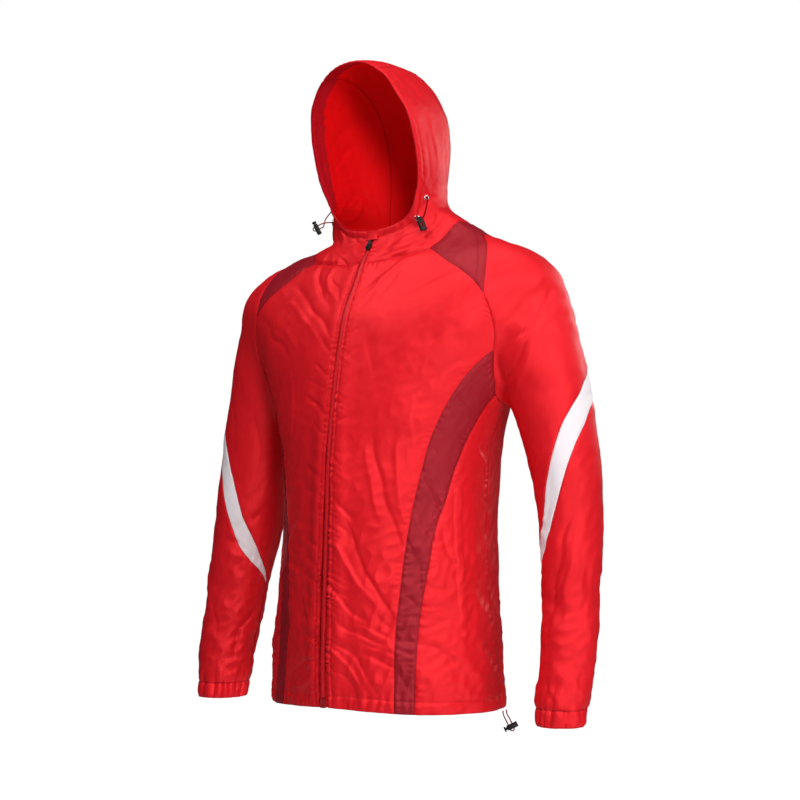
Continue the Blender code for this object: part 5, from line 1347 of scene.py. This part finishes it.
def build_slider(finishes):
    """The slider with its bridge, the pull tab on it, and the box at the zip's foot."""
    matrix = frame_at(SLIDER_AT, ACROSS, ZIP_UP, ZIP_OUT)
    slider = block("slider_body", SLIDER, (0, 0, SLIDER_LIFT))
    work_faces(slider, lambda at, out: out.y < -0.9, (RESIZE, dict(value=(0.66, 1, 1))))
    press(slider, (0, 0, 1), 0.0012, (0, 0, 0.0002))
    round_edges(slider, (0, 0, 1), 0.0016, 4)
    soften(slider, 0.0004)
    carve(slider, rounded_block("bridge", BRIDGE, (0, BRIDGE_Y, 0.0039), (1, 0, 0), 0.0009, 3), "UNION")
    carve(slider, rounded_block("eye", (CUT_PAST, EYE, EYE), (0, BRIDGE_Y, 0.0040), (1, 0, 0), 0.0005, 2))
    set_in_place(slider, matrix, finishes["black"], "black_plastic", JACKET, "zip_slider")

    pull = block("pull_tab_plate", PULL, (0, PULL_Y, 0))
    work_faces(pull, lambda at, out: out.y > 0.9, (RESIZE, dict(value=(PULL_TAPER, 1, 1))))
    for face in (1, -1):
        press(pull, (0, 0, face), 0.0009, (0, 0.0008, -0.00015 * face))
    round_edges(pull, (0, 0, 1), 0.0009, 3)
    soften(pull, 0.00018)
    carve(pull, rounded_block("window", WINDOW, (0, WINDOW_Y, 0), (0, 0, 1), 0.0007, 3))
    matrix = frame_at(HINGE_AT, ACROSS, ZIP_UP, ZIP_OUT)
    set_in_place(pull, matrix, finishes["black"], "black_plastic", "pull_tab", "zip_pull")

    foot = rounded_block("box_at_foot", BOX, (0, 0, 0), (0, 0, 1), 0.0012, 3)
    press(foot, (0, 0, 1), 0.0010, (0, 0, -0.0003))
    soften(foot, 0.0004)
    matrix = frame_at(BOX_AT, ACROSS, BOX_UP, BOX_OUT)
    set_in_place(foot, matrix, finishes["box"], "zip_red", JACKET, "zip_box")


def build_teeth(finishes):
    """Two rows of teeth that meet at the middle, one tooth shaped by hand and repeated up the line."""
    tooth = block("one_tooth", TOOTH, (TOOTH_ASIDE, 0, 0))
    work_faces(tooth, lambda at, out: out.x < -0.9, (RESIZE, dict(value=(1, 1.25, 1.15))))
    round_edges(tooth, (0, 0, 1), 0.00025, 1)
    points = np.array([tuple(v.co) for v in tooth.data.vertices])
    faces = [tuple(f.vertices) for f in tooth.data.polygons]
    bpy.data.objects.remove(tooth)
    line = zip_middle(TEETH_FROM, SLIDER_Z + 0.004, 900)
    count = int(np.linalg.norm(np.diff(line, axis=0), axis=1).sum() / TOOTH_PITCH)
    line = resample(line, 2 * count)
    out = normals(line)
    out[:, 0] = 0
    out /= np.linalg.norm(out, axis=1)[:, None]
    up = np.gradient(line, axis=0)
    up -= out * (up * out).sum(1)[:, None]
    up /= np.linalg.norm(up, axis=1)[:, None]
    all_points, all_faces = [], []
    for k in range(1, len(line) - 1):
        side = 1 if k % 2 else -1
        shape = points * (side, 1, 1)
        spot = line[k] + out[k] * (CHAIN_LIFT - CHAIN_WALL / 2)
        start = len(all_points) * len(points)
        all_points.append(spot + shape[:, :1] * (1, 0, 0) + shape[:, 1:2] * up[k] + shape[:, 2:] * out[k])
        all_faces += [tuple(start + i for i in (face if side > 0 else face[::-1])) for face in faces]
    mesh = bpy.data.meshes.new("zip_teeth")
    mesh.from_pydata(np.concatenate(all_points).tolist(), [], all_faces)
    mesh.materials.append(finishes["teeth"])
    thing = bpy.data.objects.new("zip_teeth", mesh)
    scene.collection.objects.link(thing)
    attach(thing, JACKET)
    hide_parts("zip_chain")


# Each eyelet: its middle on the cloth in mm, and the way it faces.
# columns: x, y, z, out_x, out_y, out_z
EYELETS = dict(
    upper_left=(84.58, -30.47, 31.9, 0.9262, -0.3701, -0.0718),
    lower_left=(73.42, -37.45, 1.43, 0.4395, -0.8953, -0.0732),
    upper_right=(-91.92, -17.25, 40.47, -0.9628, -0.1278, 0.2383),
    lower_right=(-92.90, -22.84, 18.80, -0.7144, -0.6980, 0.0480),
)
EYELET_FLAT, EYELET_CALM = 0.0050, 0.0120
RING_MIDDLE, RING_ROUND, RING_SQUASH, RING_SEAT = 0.0031, 0.0011, 0.55, 0.0006


def flat_at_eyelets(p, out, height):
    """The hood lies flat under each eyelet."""
    for row in EYELETS.values():
        middle, facing = np.array(row[:3]) / 1000, np.array(row[3:])
        away = np.linalg.norm(p - middle, axis=-1)
        share = np.clip((EYELET_CALM - away) / (EYELET_CALM - EYELET_FLAT), 0, 1)
        share = share * share * (3 - 2 * share)
        level = ((middle - p) @ facing) / np.maximum(out @ facing, 0.3)
        height = height * (1 - share) + level * share
    return height


def build_eyelets(finishes):
    for name, row in EYELETS.items():
        bpy.ops.object.select_all(action="DESELECT")
        bpy.ops.mesh.primitive_torus_add(major_radius=RING_MIDDLE, minor_radius=RING_ROUND,
                                         major_segments=32, minor_segments=12)
        ring = bpy.context.object
        ring.name = ring.data.name = f"eyelet_ring_{name}"
        work_faces(ring, lambda at, out: True, (RESIZE, dict(value=(1, 1, RING_SQUASH))))
        work_faces(ring, lambda at, out: at.xy.length < 0.0026, (MOVE, dict(value=(0, 0, -0.0003))))
        out = Vector(row[3:]).normalized()
        middle = Vector(row[:3]) / 1000 + out * (LAID_GAP + RING_SEAT)
        turn = out.to_track_quat("Z", "Y").to_matrix().to_4x4()
        level, side = name.split("_")
        set_in_place(ring, Matrix.Translation(middle) @ turn, finishes["steel"], "eyelet_steel", JACKET,
                     f"eyelet_{level}_{side}")


# ---- finishes -------------------------------------------------------------------------------------------
THREAD_GAP, THREAD_PROUD, GROOVE_WIDE, GROOVE_DEEP, WEAVE_DEEP = 0.14, 0.0004, 0.0016, 0.00035, 0.00006


def put(tree, kind, values=None, **settings):
    node = tree.nodes.new(kind)
    for key, value in settings.items():
        setattr(node, key, value)
    for key, value in (values or {}).items():
        if isinstance(value, bpy.types.NodeSocket):
            tree.links.new(value, node.inputs[key])
        else:
            node.inputs[key].default_value = value
    return node


def maths(tree, operation, *values):
    node = tree.nodes.new("ShaderNodeMath")
    node.operation = operation
    for k, value in enumerate(values):
        if isinstance(value, bpy.types.NodeSocket):
            tree.links.new(value, node.inputs[k])
        else:
            node.inputs[k].default_value = value
    return node.outputs[0]


def new_group(name, takes, gives):
    group = bpy.data.node_groups.new(name, "ShaderNodeTree")
    for label, value in takes.items():
        kind = "NodeSocketColor" if isinstance(value, tuple) else "NodeSocketFloat"
        socket = group.interface.new_socket(label, in_out="INPUT", socket_type=kind)
        socket.default_value = value
    for label, kind in gives.items():
        group.interface.new_socket(label, in_out="OUTPUT", socket_type=kind)
    return group, group.nodes.new("NodeGroupInput").outputs, group.nodes.new("NodeGroupOutput").inputs


def attribute(tree, name):
    return put(tree, "ShaderNodeAttribute", attribute_name=name).outputs["Fac"]


def weave_group():
    """Plain weave along the cloth's own warp and weft, as a height."""
    group, takes, gives = new_group("plain_weave", {"Thread": 0.0007}, {"Height": "NodeSocketFloat"})
    sums = partial(maths, group)
    across, along = (
        sums("SINE", sums("DIVIDE", sums("MULTIPLY", attribute(group, way), 2 * pi), takes["Thread"]))
        for way in ("cut_u", "cut_v"))
    group.links.new(sums("ADD", sums("MULTIPLY", sums("MULTIPLY", across, along), 0.5), 0.5), gives["Height"])
    return group


def stitch_group():
    """One row of thread at a set distance from an edge."""
    group, takes, gives = new_group(
        "thread_row", {"Edge": 0.0, "Along": 0.0, "Offset": 0.006, "Pitch": 0.0030, "Half": 0.00035},
        {"Thread": "NodeSocketFloat", "Groove": "NodeSocketFloat"})
    sums = partial(maths, group)
    away = sums("ABSOLUTE", sums("SUBTRACT", takes["Edge"], takes["Offset"]))
    band = sums("SUBTRACT", 1.0, sums("MINIMUM", sums("DIVIDE", away, takes["Half"]), 1.0))
    beat = sums("FRACT", sums("DIVIDE", takes["Along"], takes["Pitch"]))
    dash = sums("MULTIPLY", sums("GREATER_THAN", beat, THREAD_GAP), sums("LESS_THAN", beat, 1 - THREAD_GAP))
    group.links.new(sums("MULTIPLY", band, dash), gives["Thread"])
    wide = sums("SUBTRACT", 1.0, sums("MINIMUM", sums("DIVIDE", away, GROOVE_WIDE), 1.0))
    group.links.new(wide, gives["Groove"])
    return group


def seam_painted_shade_group():
    """Painted shade: the colour is darkened along each edge of a piece, where the seam's turned-in recess
    lies in shade; free edges such as hem and rim get it too.
    """
    group, _, gives = new_group("seam_painted_shade", {}, {"Shade": "NodeSocketFloat"})
    sums = partial(maths, group)
    nearest = sums("MINIMUM", attribute(group, "edge_low"), attribute(group, "edge_high"))
    nearest = sums("MINIMUM", nearest, attribute(group, "edge_first"))
    nearest = sums("MINIMUM", nearest, attribute(group, "edge_last"))
    shade = put(group, "ShaderNodeMapRange", {"Value": nearest, "From Min": 0.0002, "From Max": 0.0016,
                                              "To Min": 0.55, "To Max": 0.0})
    group.links.new(shade.outputs["Result"], gives["Shade"])
    return group


def crinkle_group():
    """The small soft dents of light nylon and its uneven dye, by place."""
    group, takes, gives = new_group(
        "soft_crinkle", {"Scale": 40.0, "Fine": 220.0},
        {"Height": "NodeSocketFloat", "Tone": "NodeSocketFloat"})
    sums = partial(maths, group)
    place = put(group, "ShaderNodeTexCoord").outputs["Object"]
    large = put(group, "ShaderNodeTexNoise", {"Vector": place, "Scale": takes["Scale"], "Detail": 2.0,
                                              "Roughness": 0.5, "Distortion": 0.4}).outputs["Fac"]
    small = put(group, "ShaderNodeTexNoise", {"Vector": place, "Scale": takes["Fine"], "Detail": 2.0,
                                              "Roughness": 0.5}).outputs["Fac"]
    group.links.new(sums("ADD", sums("MULTIPLY", large, 0.8), sums("MULTIPLY", small, 0.2)),
                    gives["Height"])
    slow = put(group, "ShaderNodeTexNoise", {"Vector": place, "Scale": 9.0, "Detail": 1.0}).outputs["Fac"]
    group.links.new(slow, gives["Tone"])
    return group


def cloth_material(name, colour, deep, roughness, groups, rows, gloss=0.16, satin=0.0, dents=0.0007):
    """Nylon shell: weave, crinkle and its rows of stitching, with painted shade in the stitch grooves and
    along the seams.  rows are (edge, along, offset).
    """
    made = bpy.data.materials.new(name)
    made.use_nodes = True
    tree = made.node_tree
    sums = partial(maths, tree)
    shader = tree.nodes["Principled BSDF"]
    weave = put(tree, "ShaderNodeGroup", node_tree=groups["weave"])
    crinkle = put(tree, "ShaderNodeGroup", node_tree=groups["crinkle"])
    tone = put(tree, "ShaderNodeMapRange",
               {"Value": crinkle.outputs["Tone"], "From Min": 0.3, "From Max": 0.7})
    mix = put(tree, "ShaderNodeMix", {6: (*colour, 1), 7: (*deep, 1)}, data_type="RGBA")
    tree.links.new(tone.outputs["Result"], mix.inputs["Factor"])
    thread, groove = None, None
    for edge, along, offset in rows:
        row = put(tree, "ShaderNodeGroup", node_tree=groups["stitch"])
        tree.links.new(attribute(tree, edge), row.inputs["Edge"])
        tree.links.new(attribute(tree, along), row.inputs["Along"])
        row.inputs["Offset"].default_value = offset
        line, dent = row.outputs["Thread"], row.outputs["Groove"]
        thread = line if thread is None else sums("MAXIMUM", thread, line)
        groove = dent if groove is None else sums("MAXIMUM", groove, dent)
    colour_out = mix.outputs[2]
    height = sums("ADD", sums("MULTIPLY", crinkle.outputs["Height"], dents),
                  sums("MULTIPLY", weave.outputs["Height"], WEAVE_DEEP))
    if thread is not None:
        # painted shade: the colour is darkened in the pressed groove beside each row of stitching
        dark = put(tree, "ShaderNodeMix", {7: tuple(c * 0.80 for c in deep) + (1,)}, data_type="RGBA")
        tree.links.new(colour_out, dark.inputs[6])
        tree.links.new(sums("MULTIPLY", groove, 0.35), dark.inputs["Factor"])
        colour_out = dark.outputs[2]
        height = sums("SUBTRACT", height, sums("MULTIPLY", groove, GROOVE_DEEP))
        height = sums("ADD", height, sums("MULTIPLY", thread, THREAD_PROUD))
    # painted shade along the seams: the colour is mixed towards a darker red near each edge
    shade = put(tree, "ShaderNodeGroup", node_tree=groups["seam"]).outputs["Shade"]
    seam_shade_mix = put(tree, "ShaderNodeMix", {7: tuple(c * 0.35 for c in deep) + (1,)}, data_type="RGBA")
    tree.links.new(colour_out, seam_shade_mix.inputs[6])
    tree.links.new(shade, seam_shade_mix.inputs["Factor"])
    tree.links.new(seam_shade_mix.outputs[2], shader.inputs["Base Color"])
    bump = put(tree, "ShaderNodeBump", {"Strength": 1.0, "Distance": 1.0, "Height": height})
    tree.links.new(bump.outputs["Normal"], shader.inputs["Normal"])
    rough = sums("ADD", sums("MULTIPLY", tone.outputs["Result"], 0.06), roughness - 0.03)
    tree.links.new(rough, shader.inputs["Roughness"])
    shader.inputs["Specular IOR Level"].default_value = gloss
    shader.inputs["Metallic"].default_value = satin
    return made


def hard_material(name, colour, roughness, groups, metal=0.0, scuffed=1.0):
    """Moulded or plated parts: fine pitting, with scuffs that catch the light."""
    made = bpy.data.materials.new(name)
    made.use_nodes = True
    tree = made.node_tree
    sums = partial(maths, tree)
    shader = tree.nodes["Principled BSDF"]
    crinkle = put(tree, "ShaderNodeGroup", {"Scale": 700.0, "Fine": 2600.0}, node_tree=groups["crinkle"])
    scuff = put(tree, "ShaderNodeMapRange",
                {"Value": crinkle.outputs["Height"], "From Min": 0.45, "From Max": 0.75})
    lighter = tuple(c * (1 - 0.3 * scuffed) + 0.03 * scuffed for c in colour) + (1,)
    mix = put(tree, "ShaderNodeMix", {6: (*colour, 1), 7: lighter, "Factor": scuff.outputs["Result"]},
              data_type="RGBA")
    tree.links.new(mix.outputs[2], shader.inputs["Base Color"])
    rough = sums("ADD", sums("MULTIPLY", scuff.outputs["Result"], 0.12), roughness)
    tree.links.new(rough, shader.inputs["Roughness"])
    bump = put(tree, "ShaderNodeBump",
               {"Strength": 0.3, "Distance": 0.0001, "Height": crinkle.outputs["Height"]})
    tree.links.new(bump.outputs["Normal"], shader.inputs["Normal"])
    shader.inputs["Metallic"].default_value = metal
    shader.inputs["Specular IOR Level"].default_value = 0.35
    return made


def build_finishes():
    groups = dict(weave=weave_group(), stitch=stitch_group(), crinkle=crinkle_group(), seam=seam_painted_shade_group())
    hem, zip_row = ("edge_low", "cut_u", HEM_STITCH), ("edge_first", "cut_v", ZIP_STITCH)
    rim = ("edge_high", "cut_u", RIM_CASING)

    def cloth(name, colour, deep, roughness, rows=(), **settings):
        return cloth_material(name, colour, deep, roughness, groups, rows, **settings)

    def red(name, rows):
        return cloth(name, (0.84, 0.012, 0.021), (0.77, 0.010, 0.018), 0.43, rows, satin=0.22)

    return dict(
        shell=red("red_nylon", []),
        front=red("red_nylon_front", [hem, zip_row]),
        hemmed=red("red_nylon_hemmed", [hem]),
        hood=red("red_nylon_hood", [rim]),
        dark=cloth("dark_red_nylon", (0.37, 0.010, 0.021), (0.32, 0.008, 0.018), 0.43, [hem], satin=0.22),
        white=cloth("white_nylon", (0.90, 0.83, 0.86), (0.84, 0.76, 0.80), 0.45),
        # The inside's matte, deep red is its own colour; it is made brighter than the shell as painted light,
        # standing in for light shining through the thin hood.
        reverse=cloth("red_nylon_inside_painted_light", (0.95, 0.003, 0.006), (0.88, 0.003, 0.005), 0.75, gloss=0.08),
        facing=cloth("rim_facing_red", (0.60, 0.008, 0.018), (0.52, 0.007, 0.015), 0.44),
        # Painted shade: the tape is darker than the shell's red to stand in for the shade down in the zip's
        # channel.
        tape=cloth("zip_tape_red_painted_shade", (0.60, 0.008, 0.015), (0.40, 0.005, 0.011), 0.6, dents=0.0011),
        cord=cloth("cord_braid", (0.42, 0.002, 0.004), (0.30, 0.002, 0.003), 0.8, gloss=0.05),
        black=hard_material("moulded_black", (0.003, 0.003, 0.0035), 0.55, groups, scuffed=0.1),
        box=hard_material("moulded_red", (0.34, 0.005, 0.010), 0.40, groups),
        teeth=hard_material("tooth_red", (0.84, 0.010, 0.018), 0.42, groups),
        steel=hard_material("nickel", (0.66, 0.66, 0.68), 0.24, groups, metal=1.0),
    )


def main():
    build_camera()
    finishes = build_finishes()
    build_cords(finishes)
    build_studio()
    lines = {side: side_seams(side) for side, _ in SIDES}
    build_torso(lines, finishes)
    build_hood(lines, finishes)
    build_sleeves(lines, finishes)
    build_zip(finishes)
    build_pockets(finishes)
    build_slider(finishes)
    build_teeth(finishes)
    build_eyelets(finishes)
    for name in LOCKS:
        build_cord_lock(name, finishes)


main()
